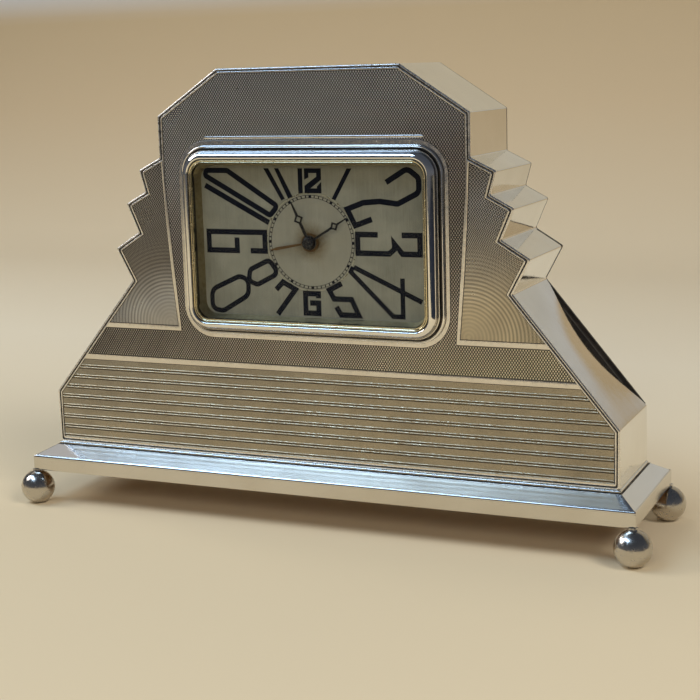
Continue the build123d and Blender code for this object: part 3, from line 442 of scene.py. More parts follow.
def brushed_metal(name, colour, rough=0.28, along=(0.15, 3.0, 3.0), depth=0.004, tarnish=0.4):
    """Turned or drawn metal with fine lines and stains."""
    look = Look(name, colour, 1.0, rough)
    lines = look.noise(1.0, 3.0, stretch=along, rough=0.6)
    cloud = look.noise(0.12, 4.0)
    stain = tuple(c * k for c, k in zip(colour, (0.60, 0.50, 0.38)))
    look.colour(look.mix(look.span(cloud, 0.45, 0.8, 0.0, tarnish), colour, stain))
    look.roughness(look.span(lines, 0.3, 0.7, rough * 0.8, rough * 1.4))
    look.bump(lines, depth)
    return look.material


def stained_wood(name, dark, light, along, gloss=0.35, depth=0.03):
    """Wood with growth lines along one axis and small pores."""
    look = Look(name, light, 0.0, gloss)
    figure = look.noise(1.0, 5.0, stretch=along, rough=0.6, distortion=0.6)
    pores = look.noise(1.0, 4.0, stretch=tuple(4.5 * a for a in along), rough=0.7)
    grain = look.mix(look.span(figure, 0.35, 0.65), dark, light)
    look.colour(look.mix(look.span(pores, 0.55, 0.72, 0.0, 0.7), grain, tuple(0.4 * c for c in dark)))
    look.roughness(look.span(figure, 0.3, 0.7, gloss * 0.85, gloss * 1.3))
    look.bump(pores, depth)
    return look.material


SILVER = polished_silver("polished_silver", (0.87, 0.85, 0.80), dents=0.035)
SILVER_BEZEL = polished_silver(
    "polished_silver_bezel", (0.90, 0.88, 0.84), dents=0.012, scratch=0.0003)
# Painted reflection: a lighter, bluish copy of the silver for the plinth's upward bevel, standing in for the
# cool light it mirrors.
SILVER_BEVEL_PAINTED_REFLECTION = polished_silver(
    "polished_silver_bevel_painted_reflection", (0.93, 0.94, 0.95), rough=0.15, dents=0.006, tarnish=0.15,
    scratch=0.0002, uneven=0.12)
# Painted shade: a darker copy of the silver for the plinth's upright edge.
SILVER_UPRIGHT_PAINTED_SHADE = polished_silver("polished_silver_upright_painted_shade", (0.72, 0.69, 0.64), rough=0.10, dents=0.02)
SILVER_ROLL = polished_silver(
    "polished_silver_roll", (0.90, 0.87, 0.82), rough=0.22, dents=0.002, scratch=0.0002)
SILVER_REED_TOPS = polished_silver(
    "polished_silver_reeds", (0.60, 0.50, 0.34), rough=0.36, dents=0.002, scratch=0.0002)
SILVER_FEET = polished_silver("polished_silver_feet", (0.60, 0.56, 0.50), rough=0.17, dents=0.02)
SILVER_BANDS = polished_silver(
    "polished_silver_bands", (0.80, 0.76, 0.70), rough=0.14, dents=0.004, scratch=0.0002)
# Nearly black silver: tarnish in grooves, and painted shade where it stands for creases, gaps and hollows in
# shadow.
SILVER_TARNISH_AND_SHADE = polished_silver(
    "tarnish_and_painted_shade", (0.10, 0.09, 0.08), rough=0.35, dents=0.004, scratch=0.0002)
# The last list of each chased silver is its painted reflection, from low to high.
SILVER_BARLEY = engine_turned(
    "engine_turned_barleycorn", barleycorn, 0.05, (0.98, 0.95, 0.88), (0.045, 0.042, 0.04),
    [(0.0, (1.0, 0.96, 0.82)), (0.20, (0.86, 0.81, 0.78)), (0.46, (0.52, 0.50, 0.49)),
     (0.74, (0.58, 0.55, 0.58)), (1.0, (0.84, 0.88, 0.99))])
SILVER_SUNBURST = engine_turned(
    "engine_turned_sunburst", sunburst, 0.03, (0.90, 0.83, 0.70), (0.06, 0.055, 0.05),
    [(0.0, (1.0, 0.96, 0.84)), (0.20, (0.98, 0.93, 0.82)), (0.56, (0.70, 0.76, 0.92)),
     (0.70, (0.50, 0.50, 0.53)), (1.0, (0.54, 0.55, 0.60))])
SILVER_REEDS = engine_turned(
    "engine_turned_reeds", fine_reeds, 0.03, (0.54, 0.50, 0.425), (0.05, 0.045, 0.035),
    [(0.0, (1.0, 0.95, 0.86)), (0.5, (0.88, 0.88, 0.88)), (1.0, (0.8, 0.8, 0.85))])
GILT = polished_silver(
    "worn_gilt", (0.74, 0.65, 0.42), rough=0.16, dents=0.01, tarnish=0.6, scratch=0.0004)
GILT_DULL = polished_silver(
    "dull_gilt", (0.50, 0.43, 0.28), rough=0.42, dents=0.01, tarnish=0.6)
BRASS = brushed_metal("drawn_brass", (0.66, 0.49, 0.22))
BRASS_TURNED = brushed_metal("turned_brass", (0.70, 0.53, 0.25), rough=0.22)
STEEL = brushed_metal("bright_steel", (0.46, 0.46, 0.47), rough=0.25, tarnish=0.25)
SPRING = brushed_metal("blued_spring_steel", (0.10, 0.12, 0.19), rough=0.30)
NICKEL = brushed_metal("nickelled_bell", (0.66, 0.66, 0.65), rough=0.12, depth=0.001, tarnish=0.2)
EBONISED = stained_wood(
    "ebonised_wood", (0.010, 0.009, 0.008), (0.032, 0.026, 0.021), (0.02, 0.5, 0.35))
BEECH = stained_wood(
    "bare_beech", (0.26, 0.15, 0.075), (0.42, 0.27, 0.15), (0.02, 0.4, 0.4), gloss=0.6)


def blackened_steel(name, colour, edge, rough):
    """Painted or browned steel with worn, slightly lighter patches."""
    look = Look(name, colour, 0.6, rough)
    wear = look.noise(1.6, 5.0, rough=0.7)
    look.colour(look.mix(look.span(wear, 0.52, 0.70, 0.0, 0.8), colour, edge))
    look.roughness(look.span(wear, 0.3, 0.7, rough * 0.8, rough * 1.5))
    look.bump(wear, 0.02)
    return look.material


HAND_BLACK = blackened_steel("hand_black", (0.010, 0.010, 0.013), (0.035, 0.033, 0.035), 0.35)
HAND_BROWN = blackened_steel("hand_rusty", (0.115, 0.060, 0.022), (0.24, 0.14, 0.06), 0.55)
CAP_DARK = blackened_steel("cap_dark", (0.016, 0.016, 0.022), (0.06, 0.055, 0.05), 0.22)


def silvered_dial():
    """Old silvering gone grey-olive, with upright brush marks, cloudy patches and brown specks."""
    ground = (0.262, 0.247, 0.200)
    look = Look("dial_silvering", ground, 0.25, 0.45)
    x, _, z = look.xyz()
    dz = look.minus(z, DIAL_Z)
    reach = look.reach(x, dz)
    cloud = look.noise(0.07, 5.0, rough=0.6)
    brush = look.noise(1.0, 3.0, stretch=(3.2, 1.0, 0.12))
    specks = look.noise(1.1, 6.0, rough=0.75)
    tone = look.mix(look.span(cloud, 0.35, 0.7), ground, (0.168, 0.157, 0.123))
    centre = look.times(look.span(reach, 16.6, 16.1), 0.55)
    tone = look.mix(centre, tone, (0.290, 0.262, 0.210))
    tone = look.mix(look.span(brush, 0.35, 0.75, 0.0, 0.22), tone, (0.37, 0.355, 0.31))
    # Brown towards the hub, fading out by 7.5 mm and broken up by the specks.
    brown_round_hub = look.times(look.span(reach, 7.5, 2.5), look.span(specks, 0.3, 0.6, 0.3, 1.0))
    tone = look.mix(brown_round_hub, tone, (0.105, 0.060, 0.016))
    tone = look.mix(look.span(specks, 0.66, 0.78, 0.0, 0.6), tone, (0.075, 0.060, 0.035))
    look.colour(tone)
    look.roughness(look.span(cloud, 0.3, 0.7, 0.36, 0.52))
    look.bump(brush, 0.006)
    return look.material


def numeral_ink():
    """Blue-black printing ink with small chips worn off."""
    look = Look("numeral_ink", (0.006, 0.007, 0.012), 0.0, 0.6)
    look.shader.inputs["Specular IOR Level"].default_value = 0.03
    wear = look.noise(0.9, 5.0, rough=0.7)
    look.colour(look.mix(look.span(wear, 0.69, 0.74), (0.006, 0.007, 0.012), (0.13, 0.12, 0.09)))
    look.bump(wear, 0.01)
    return look.material


def clear_glass():
    """A thin pane: mostly clear, with a faint sheen."""
    material = bpy.data.materials.new("clock_glass")
    material.use_nodes = True
    tree = material.node_tree
    tree.nodes.remove(tree.nodes["Principled BSDF"])
    output = tree.nodes["Material Output"]
    clear = tree.nodes.new("ShaderNodeBsdfTransparent")
    clear.inputs["Color"].default_value = (0.96, 0.97, 0.95, 1.0)
    gloss = tree.nodes.new("ShaderNodeBsdfGlossy")
    gloss.inputs["Roughness"].default_value = 0.03
    blend = tree.nodes.new("ShaderNodeMixShader")
    blend.inputs[0].default_value = 0.006
    tree.links.new(clear.outputs[0], blend.inputs[1])
    tree.links.new(gloss.outputs[0], blend.inputs[2])
    tree.links.new(blend.outputs[0], output.inputs["Surface"])
    return material


DIAL = silvered_dial()
INK = numeral_ink()
GLASS = clear_glass()


# -------- front plate

FIELD_DEPTH = 0.16
FIELD_SLOPE = 0.24
# The rim's section as (inset, depth) rows, and which joins between them lie in its groove.
RIM = [
    (0.0, 0.80), (0.0, 0.42), (0.07, 0.20), (0.20, 0.06), (0.38, 0.0), (0.60, 0.02), (0.70, 0.16),
    (0.84, 0.26), (1.02, 0.26), (1.12, 0.14), (1.22, 0.08), (1.45, 0.08),
]
# The rim's groove is dark: tarnish, and painted shade in its hollow.
RIM_GROOVE = (5, 6, 7, 8)
LEVEL = FRONT + RIM[-1][1]
FIELD = LEVEL + FIELD_DEPTH
FIELD_INSET = 1.65
INNER = drawn_in(OUTLINE, FIELD_INSET)
WING_EDGE = 57.2

# The chased sheet's materials, by number.
BANDS, BARLEY, RAYS, REEDS, GROOVE_TARNISH_AND_SHADE, ROLL, REED_TOPS = range(7)
CHASED = [
    SILVER_BANDS, SILVER_BARLEY, SILVER_SUNBURST, SILVER_REEDS, SILVER_TARNISH_AND_SHADE, SILVER_ROLL,
    SILVER_REED_TOPS,
]


def on_inner_edge(first, height=None, x=None):
    """The point where the drawn-in outline's side from corner number first passes a height, or an x."""
    (ax, az), (bx, bz) = INNER[first], INNER[first + 1]
    share = (height - az) / (bz - az) if height is not None else (x - ax) / (bx - ax)
    return (ax + (bx - ax) * share, az + (bz - az) * share)


def both_halves(half):
    """A loop from its right half, given from bottom to top."""
    return half + mirrored(half)


CENTRAL_FIELD = both_halves([
    on_inner_edge(1, BASE + 34.3), on_inner_edge(1, BASE + 44.8), (52.2, BASE + 44.8), (54.2, BASE + 70.0),
    (INNER[9][0], BASE + 98.0), INNER[9], INNER[10],
])
WING_FIELD = [
    on_inner_edge(7, x=WING_EDGE), (56.4, BASE + 85.0), (55.0, BASE + 65.0), (53.4, BASE + 46.5),
    on_inner_edge(1, BASE + 46.5), *INNER[2:8],
]
BOTTOM_FIELD = both_halves([(INNER[0][0], BASE + 1.9), INNER[1], on_inner_edge(1, BASE + 32.4)])
OPENING_HALF = (43.4, 28.0)
OPENING_CORNER = 6.0


def reed_levels(low, high):
    """(height, rise) rows up the bottom field: pairs of small round reeds on a flat ground."""
    rows = [(low, 0.0)]
    middle = REED_FIRST
    while middle + REED_GAP < high:
        for centre in (middle - REED_GAP / 2, middle + REED_GAP / 2):
            for step in range(-3, 4):
                across = step / 3
                rise = REED_HEIGHT * math.cos(across * math.pi / 2)
                rows.append((centre + across * REED_WIDTH / 2, rise))
        middle += REED_PITCH
    rows.append((high, 0.0))
    return rows


def reeded_area(builder):
    """The bottom field's ground, following its slanted ends, and the polished reeds on it."""
    loop = drawn_in(BOTTOM_FIELD, FIELD_SLOPE)
    (wide, low), (_, knee), (narrow, high) = loop[:3]

    def half_width(z):
        return wide if z < knee else wide + (narrow - wide) * (z - knee) / (high - knee)

    shares = [-1.0, -0.5, 0.0, 0.5, 1.0]
    levels = sorted([*reed_levels(low, high), (knee, 0.0)])
    grid = [
        [(share * half_width(z), FIELD - rise, z) for share in shares]
        for z, rise in levels
    ]
    first_face = len(builder.faces)
    builder.rows(grid, closed=False, kind=REEDS)
    across = len(shares) - 1
    for row in range(len(levels) - 1):
        if max(levels[row][1], levels[row + 1][1]) > 0.01:
            for face in range(first_face + row * across, first_face + (row + 1) * across):
                builder.kinds[face] = REED_TOPS


def raised_line(builder):
    """The thin bead that runs above the bezel, its ends dying into the field."""
    left, right, height = -40.0, 42.0, BASE + 113.2
    sunk, proud = 0.02, 0.15
    spots = [(left, 0.0), (left + 1.0, 1.0), (right - 1.0, 1.0), (right, 0.0)]
    section = [(-0.42, 0.0), (-0.30, 0.7), (0.0, 1.0), (0.30, 0.7), (0.42, 0.0)]
    builder.rows([
        [(x, FIELD + sunk - proud * end * rise, height + offset * max(end, 0.3)) for x, end in spots]
        for offset, rise in section
    ], closed=False)


BEZEL_HALF = ((bezel_high.x - bezel_low.x) / 2, (bezel_high.z - bezel_low.z) / 2)
BEZEL_RADIUS = 10.0
RING_RADIUS = 5.4
SIGHT_RADIUS = 5.6
SIGHT_HALF_WIDTH = 41.75
# The number of the second, dark material on a piece that has two: tarnish in grooves, and painted shade in
# creases, gaps and hollows.
DARK_TARNISH_AND_SHADE = 1


def round_the_bezel(spread):
    """The bezel's outline, grown by spread."""
    half_width, half_height = (half + spread for half in BEZEL_HALF)
    return rounded_rectangle(half_width, half_height, BEZEL_RADIUS + spread - 0.1, centre=(0, DIAL_Z))


def build_front_plate():
    """One chased sheet: rolled rim, polished bands, and sunk fields cut in three patterns."""
    plate = Builder()
    rim = plate.rows([
        at_depth(rounded(drawn_in(OUTLINE, inset), OUTLINE_CORNER), FRONT + drop)
        for inset, drop in RIM
    ], kind=ROLL, special=[(RIM_GROOVE, GROOVE_TARNISH_AND_SHADE)])
    back = plate.add(at_depth(rounded(OUTLINE, OUTLINE_CORNER), FRONT + SHEET))
    plate.bridge(back, rim[0])

    opening = rounded_rectangle(*OPENING_HALF, OPENING_CORNER, centre=(0, DIAL_Z))
    opening_rows = plate.rows([at_depth(opening, LEVEL), at_depth(opening, FRONT + SHEET)])
    fields = [
        (CENTRAL_FIELD, BARLEY), (WING_FIELD, RAYS), (mirrored(WING_FIELD), RAYS), (BOTTOM_FIELD, REEDS),
    ]
    holes = []
    for outline, kind in fields:
        top = plate.add(at_depth(outline, LEVEL))
        foot = plate.add(at_depth(drawn_in(outline, FIELD_SLOPE), FIELD))
        plate.bridge(top, foot, kind=GROOVE_TARNISH_AND_SHADE)
        holes.append(top)
        if kind == BARLEY:
            border_foot = plate.add(at_depth(round_the_bezel(1.6), FIELD))
            border_top = plate.add(at_depth(round_the_bezel(1.4), LEVEL))
            plate.bridge(border_foot, border_top, kind=GROOVE_TARNISH_AND_SHADE)
            plate.fill([foot, border_foot], kind)
            plate.fill([border_top, opening_rows[0]], BANDS)
        elif kind == RAYS:
            plate.fill([foot], kind)
    reeded_area(plate)
    raised_line(plate)
    plate.fill([rim[-1], *holes], BANDS)
    inner = plate.add(at_depth(rounded(OUTLINE, OUTLINE_CORNER), FRONT + SHEET))
    plate.fill([inner, opening_rows[1]])
    plate.piece("front_plate_chased", CHASED, "case", "silver_engine_turned", ["front_plate"])


def framed_rows(half, radius, section, least=1.0, steps=14):
    """Rounded rectangles, one for each (inset, depth) of a section."""
    middle = (0, DIAL_Z)
    return [
        at_depth(rounded_rectangle(
            half[0] - inset, half[1] - inset, max(radius - inset, least), steps, middle), y)
        for inset, y in section
    ]


def build_dial_frame():
    """The silver bezel, the gilt ring that holds the glass and the sloped gilt wall behind it."""
    foot = FRONT
    top = bezel_low.y
    bezel = Builder()
    bezel.rows(framed_rows(BEZEL_HALF, BEZEL_RADIUS, [
        (0.9, foot), (0.0, foot + 0.02), (0.0, foot - 0.40), (0.04, foot - 0.85),
        (0.22, foot - 1.10), (0.50, foot - 1.18), (0.78, foot - 1.08), (0.92, foot - 0.80),
        (1.02, foot - 0.60), (1.38, foot - 0.60), (1.50, foot - 1.10), (1.66, foot - 2.20),
        (2.00, foot - 3.20), (2.50, foot - 3.95), (3.10, foot - 4.42), (3.70, top + 0.06),
        (4.10, top), (4.38, top + 0.12), (4.55, top + 0.40), (4.65, top + 0.80),
        (4.65, foot - 0.5), (4.2, foot),
    ]), special=[((0, 1, 7, 8, 9, 19, 20), DARK_TARNISH_AND_SHADE)])
    silvers = [SILVER_BEZEL, SILVER_TARNISH_AND_SHADE]
    bezel.piece("bezel_polished", silvers, "case", "silver_polished", ["bezel"], angle=50)

    ring = Builder()
    half = ((ring_high.x - ring_low.x) / 2, (ring_high.z - ring_low.z) / 2)
    front = ring_low.y
    # The dark joins include the ring's inner wall, painted shade standing in for the shadow at its inner
    # edge.
    ring.rows(framed_rows(half, RING_RADIUS, [
        (0.0, ring_high.y), (0.0, front + 0.35), (0.08, front + 0.10), (0.28, front),
        (0.50, front + 0.06), (0.62, front + 0.22), (0.72, front + 0.24), (0.86, front + 0.10),
        (1.05, front + 0.08), (1.22, front + 0.30), (1.30, front + 0.70), (1.30, ring_high.y),
    ], least=3.4), special=[((0, 1, 5, 10), DARK_TARNISH_AND_SHADE)])
    ring.piece("glass_ring_gilt", [GILT, SILVER_TARNISH_AND_SHADE], "case", "gilt", ["glass_ring"], angle=50)

    wall = Builder()
    sight_low, sight_high = corners("sight_ring")
    half = ((sight_high.x - sight_low.x) / 2, (sight_high.z - sight_low.z) / 2)
    slope = half[0] - SIGHT_HALF_WIDTH
    wall.rows(framed_rows(half, SIGHT_RADIUS, [
        (0.0, sight_high.y), (0.0, sight_low.y), (slope - 1.25, sight_low.y),
        (slope - 1.10, sight_low.y + 0.12), (slope - 0.45, sight_high.y - 1.3),
        (slope, sight_high.y - 0.25), (slope, sight_high.y),
    ], least=4.2))
    wall.piece("sight_wall_gilt", [GILT_DULL], "case", "gilt", ["sight_ring"], angle=50)


# -------- side band

SLOPE_SAG = 1.9
SLOPE_RETREAT = 2.9
# Powers that shape the sag along the slope, and from front to rear.
BOW_POWER = 1.15
SAG_POWER = 2.2
SLOPE_PARTS = 28
LONG_RUN = 50.0
LOWEST_STEP = (BASE + 63.0, BASE + 79.5)
# The band's lowest part reaches further back than the rest.
DEEP_PART = BASE + 18
REAR_STEP = 1.0


def band_path():
    """The outline from the right foot over the top to the left foot, with extra points on the slopes.
    Each entry is a point and how far along its long slope it lies, or None off the slopes."""
    bends = rounded(OUTLINE, OUTLINE_CORNER, closed=False)
    path = []
    for point, after in zip(bends, bends[1:]):
        path.append((point, None))
        on_slope = math.dist(point, after) > LONG_RUN and point[1] < LOWEST_STEP[1]
        for k in range(1, SLOPE_PARTS if on_slope else 1):
            t = k / SLOPE_PARTS
            spot = tuple(a + (b - a) * t for a, b in zip(point, after))
            path.append((spot, t if point[0] > 0 else 1 - t))
    return [*path, (bends[-1], None)]


def build_side_band():
    """The strip of silver round the stepped outline. Its rear edge has sunk in along both long slopes."""
    band = Builder()
    path = band_path()
    points = [p for p, _ in path]
    front = FRONT + SHEET
    shares = [0.0, 0.15, 0.3, 0.45, 0.6, 0.72, 0.82, 0.9, 0.96, 1.0]

    def normal_at(i):
        before = Vector(points[max(i - 1, 0)])
        after = Vector(points[min(i + 1, len(points) - 1)])
        along = (after - before).normalized()
        return Vector((-along.y, along.x))

    def surface(inset):
        rows = []
        for share in shares:
            row = []
            for i, (point, t) in enumerate(path):
                bow = math.sin(math.pi * t) ** BOW_POWER if t is not None else 0.0
                end = band_high.y - (0.0 if point[1] < DEEP_PART else REAR_STEP)
                end -= SLOPE_RETREAT * bow
                sag = SLOPE_SAG * bow * share ** SAG_POWER
                inwards = normal_at(i) * (inset + sag)
                row.append((point[0] + inwards.x, front + (end - front) * share, point[1] + inwards.y))
            rows.append(row)
        return rows

    outer = band.rows(surface(0.0), closed=False)
    across = len(path) - 1
    # Painted shade: along the lowest step the band's rearmost strip takes the dark material, standing in for
    # the shadowed gap behind it.
    last_row = (len(shares) - 2) * across
    for i in range(across):
        middle = (points[i][1] + points[i + 1][1]) / 2
        if LOWEST_STEP[0] < middle < LOWEST_STEP[1]:
            band.kinds[last_row + i] = DARK_TARNISH_AND_SHADE
    inner = band.rows(surface(SHEET), closed=False)
    band.bridge(outer[-1], inner[-1], closed=False)
    band.bridge(inner[0], outer[0], closed=False)
    for side in (0, -1):
        band.bridge([row[side] for row in outer], [row[side] for row in inner], closed=False)
    silvers = [SILVER, SILVER_TARNISH_AND_SHADE]
    band.piece("side_band_polished", silvers, "case", "silver_polished", ["side_band"], angle=30)


# -------- plinth and feet

PLINTH_EDGE = 18.0
SHOULDER_DROP = 1.0
# The plinth's silvers by face: the upward bevel is a lighter, bluish copy (painted reflection) and the
# upright edge a darker copy (painted shade).
PLINTH_SILVERS = [SILVER, SILVER_UPRIGHT_PAINTED_SHADE, SILVER_BEVEL_PAINTED_REFLECTION, SILVER_TARNISH_AND_SHADE]
BEAD, UPRIGHT, BEVEL, BEAD_UNDERSIDE_SHADE = range(4)


def build_plinth():
    """A shallow tray turned over: upright edge with a small bead, bevelled top and a bead round the body."""
    outer = (plinth_high.x, plinth_low.y, plinth_high.y)
    body = (OUTLINE[0][0], FRONT, band_high.y)
    low, edge, top = plinth_low.z, PLINTH_EDGE, plinth_high.z
    shoulder = top - SHOULDER_DROP

    def rectangle(spread, share, z):
        """A rectangle between the body's outline, grown by spread, and the plinth's edge."""
        x = (body[0] + spread) * (1 - share) + outer[0] * share
        y_front = (body[1] - spread) * (1 - share) + outer[1] * share
        y_rear = (body[2] + spread) * (1 - share) + outer[2] * share
        loop = [(-x, y_front), (x, y_front), (x, y_rear), (-x, y_rear)]
        return [(px, py, z) for px, py in rounded(loop, 0.5, steps=3)]

    # Rows round the body are (spread, height), on the bevel (share, lift) and on the edge (share, height).
    at_body = [
        (-3.0, top - 0.1), (0.10, top), (0.34, top - 0.05), (0.52, top - 0.22), (0.58, top - 0.45),
        (0.52, top - 0.68), (0.36, top - 0.84), (0.50, shoulder + 0.04), (1.10, shoulder + 0.02),
    ]
    on_bevel = [
        (0.02, 0.0), (0.06, 0.0), (0.50, 0.0), (0.86, 0.0), (0.90, 0.0), (0.912, -0.12),
        (0.924, -0.03), (0.940, 0.12), (0.962, 0.15), (0.985, 0.03),
    ]
    on_edge = [
        (0.999, edge - 0.22), (0.997, edge - 0.40), (0.993, edge - 0.52), (0.996, edge - 0.66),
        (1.0, edge - 0.85), (1.0, edge - 1.1), (1.0, low + 0.5), (1.0, low + 0.25),
        (0.985, low + 0.03), (0.94, low), (0.90, low), (0.89, low + 0.3), (0.89, edge - 0.6),
    ]
    bevel = at_body[-1][0]
    rows = [rectangle(spread, 0.0, z) for spread, z in at_body]
    rows += [
        rectangle(bevel, share, shoulder + (edge - shoulder) * share + lift) for share, lift in on_bevel
    ]
    rows += [rectangle(bevel, share, z) for share, z in on_edge]
    rows.append(rectangle(at_body[0][0], 0.0, shoulder - 0.8))

    shell = Builder()
    # Painted shade: the bead's underside, joins 6 and 7, takes the nearly black silver, standing in for the
    # shadow under the bead.
    numbers = shell.rows(rows, kind=BEAD, special=[
        ((6, 7), BEAD_UNDERSIDE_SHADE), (range(8, 13), BEVEL), (range(18, len(rows) - 1), UPRIGHT),
    ])
    shell.bridge(numbers[-1], numbers[0])
    shell.piece("plinth_polished", PLINTH_SILVERS, "case", "silver_polished", ["plinth_shell"], angle=50)


def turned_piece(name, middle, profile, material, body, slot, replaces, segments=48):
    """A piece turned about an upright axis: profile rows are (radius, height)."""
    lathe = Builder()
    turns = [math.tau * k / segments for k in range(segments)]
    numbers = lathe.rows([
        [(middle[0] + radius * math.cos(a), middle[1] + radius * math.sin(a), z) for a in turns]
        for radius, z in profile
    ])
    lathe.face(list(reversed(numbers[0])))
    lathe.face(numbers[-1])
    return lathe.piece(name, [material], body, slot, replaces, angle=40)


BALL_RADIUS = 6.25
BALL_HEIGHT = 6.2
BALL_PLACE = (113.3, 26.2)
NECK_ANGLE = math.radians(74)


def build_feet():
    """Hollow silver balls with a worn flat underneath and a short neck up into the plinth."""
    steps = 26
    for name in ("foot_front_left", "foot_front_right", "foot_rear_left", "foot_rear_right"):
        low = corners(name)[0]
        middle = [math.copysign(size, side) for size, side in zip(BALL_PLACE, low)]
        centre = low.z + BALL_HEIGHT
        flat = math.asin(BALL_HEIGHT / BALL_RADIUS)
        lifts = [-flat + (flat + NECK_ANGLE) * step / steps for step in range(steps + 1)]
        profile = [(BALL_RADIUS * math.cos(a), centre + BALL_RADIUS * math.sin(a)) for a in lifts]
        neck, height = profile[-1]
        profile += [(neck * 0.96, height + 0.12), (neck * 0.92, plinth_low.z + 0.3)]
        turned_piece(name + "_ball", middle, profile, SILVER_FEET, "case", "silver_polished", [name])


# -------- dial printing

PRINT = dial_low.y
INK_THICK = 0.02
STROKE = 1.9


def stroke_sides(points, width, closed=False):
    """The two sides of a polyline of one width, mitred at its bends."""
    count = len(points)
    left, right = [], []
    for i in range(count):
        here = Vector(points[i])
        before = Vector(points[i - 1]) if closed or i > 0 else None
        after = Vector(points[(i + 1) % count]) if closed or i < count - 1 else None
        sides = []
        if before is not None:
            sides.append((here - before).normalized())
        if after is not None:
            sides.append((after - here).normalized())
        normals = [Vector((-s.y, s.x)) for s in sides]
        mean = sum(normals, Vector((0, 0)))
        offset = mean * (width / 2 * len(normals) / mean.length_squared)
        left.append(tuple(here + offset))
        right.append(tuple(here - offset))
    return left, right


class Print:
    """Flat shapes of ink on the dial, each a thin closed slab."""

    def __init__(self):
        self.ink = Builder()
        self.lift = 0.0

    def slab(self, loops):
        """A slab with the given outer loop and holes, in dial coordinates."""
        back = PRINT
        front = PRINT - INK_THICK - self.lift
        self.lift += 0.0012
        placed = [[(x, z + DIAL_Z) for x, z in loop] for loop in loops]
        fronts = [self.ink.add(at_depth(loop, front)) for loop in placed]
        backs = [self.ink.add(at_depth(loop, back)) for loop in placed]
        self.ink.fill(fronts)
        for a, b in zip(fronts, backs):
            self.ink.bridge(a, b)

    def stroke(self, points, width=STROKE, closed=False):
        left, right = stroke_sides(points, width, closed)
        self.slab([left, right] if closed else [left + right[::-1]])

    def loop(self, points, radius, width):
        """A closed stroke with its corners turned into arcs."""
        self.stroke(rounded(points, radius, 6), width, True)

    def ring(self, radius, width, count=120):
        turns = [math.tau * k / count for k in range(count)]
        self.slab([
            [(r * math.cos(a), r * math.sin(a)) for a in turns]
            for r in (radius + width / 2, radius - width / 2)
        ])


def print_numerals():
    """The twelve numerals, drawn out towards the corners of the oblong dial."""
    ink = Print()
    ink.slab([[(-4.3, 16.6), (-2.6, 16.6), (-2.6, 25.1), (-4.3, 25.1)]])
    ink.slab([[(-1.9, 16.7), (4.4, 16.7), (4.4, 20.6), (2.75, 18.95), (2.75, 18.35), (0.35, 18.35),
               (4.4, 21.3), (4.4, 25.1), (-1.9, 25.1), (-1.9, 21.3), (-0.3, 22.0), (-0.3, 23.5),
               (2.6, 23.5), (2.6, 22.3), (-1.9, 19.2)]])
    ink.slab([[(13.9, 25.1), (8.1, 14.9), (9.45, 14.4), (15.7, 25.1)]])
    ink.slab([[(-17.3, 25.1), (-10.8, 14.1), (-9.5, 14.8), (-15.4, 25.1)]])
    ink.slab([[(-13.2, 25.1), (-8.2, 14.8), (-6.5, 15.5), (-11.6, 25.1)]])

    ink.stroke([(-40.3, 19.2), (-15.9, 6.5)])
    ink.loop([(-40.2, 22.6), (-15.3, 9.0), (-12.5, 12.2), (-31.4, 24.3), (-39.6, 24.4)], 1.0, 1.85)

    bowl = [(13.7, 11.5), (19.6, 13.7), (25.6, 14.2), (32.0, 13.4), (39.6, 17.2), (39.6, 22.0),
            (35.6, 25.1), (28.0, 20.5)]
    ink.stroke([(22.6, 8.2), (16.5, 6.0), *rounded(bowl, 2.2, 6, False)])

    ink.stroke([(24.6, 3.05), (17.25, 3.05), (17.25, -3.25), (28.6, -3.25), (30.6, -1.6), (30.5, 0.1),
                (33.4, -3.25), (39.65, -3.25), (39.65, 3.05), (33.2, 3.05)])

    ink.stroke([(15.6, -8.1), (40.1, -19.2)], 1.7)
    ink.stroke([(15.3, -8.0), (14.4, -9.7), (29.6, -24.4), (33.15, -24.4), (33.15, -11.4)], 1.65)

    ink.stroke([(10.9, -13.8), (6.2, -16.2), (7.9, -19.2), (14.4, -19.2), (17.0, -24.6),
                (10.4, -24.6), (8.7, -21.9)])

    ink.stroke([(2.05, -19.2), (2.05, -17.65), (-2.85, -17.65), (-2.85, -24.45), (2.05, -24.45),
                (2.05, -20.9), (-1.2, -20.9)])

    ink.stroke([(-14.0, -16.7), (-11.3, -14.0), (-6.6, -16.4), (-13.7, -25.3)])

    ink.loop([(-28.0, -12.3), (-39.4, -17.5), (-39.4, -24.2), (-35.2, -25.0), (-24.9, -19.0),
              (-24.8, -13.8)], 3.4, 1.75)
    ink.loop([(-23.9, -10.0), (-16.3, -6.4), (-13.0, -11.0), (-21.2, -15.2), (-24.6, -14.0)], 1.8, 1.75)

    ink.stroke([(-28.6, 1.1), (-28.6, -3.45), (-39.65, -3.45), (-39.65, 3.05), (-17.7, 3.05), (-17.7, -3.4),
                (-23.4, -3.4)])
    ink.ink.piece("dial_numerals", [INK], "case", "dial_silvered", angle=30, weld=False)


def print_track():
    """The minute track: two fine rings, a tick for each minute and a square for each hour."""
    ink = Print()
    outer, inner = 16.05, 15.15
    ink.ring(outer, 0.16)
    ink.ring(inner, 0.16)
    for minute in range(60):
        angle = math.tau * minute / 60
        along = Vector((math.sin(angle), math.cos(angle)))
        across = Vector((along.y, -along.x))
        if minute % 5 == 0:
            half_length, half_width = 0.52, 0.50
        else:
            half_length, half_width = 0.38, 0.17
        centre = along * (outer + inner) / 2
        ink.slab([[tuple(centre + along * a * half_length + across * b * half_width)
                   for a, b in ((-1, -1), (-1, 1), (1, 1), (1, -1))]])
    ink.ink.piece("dial_minute_track", [INK], "case", "dial_silvered", angle=30, weld=False)


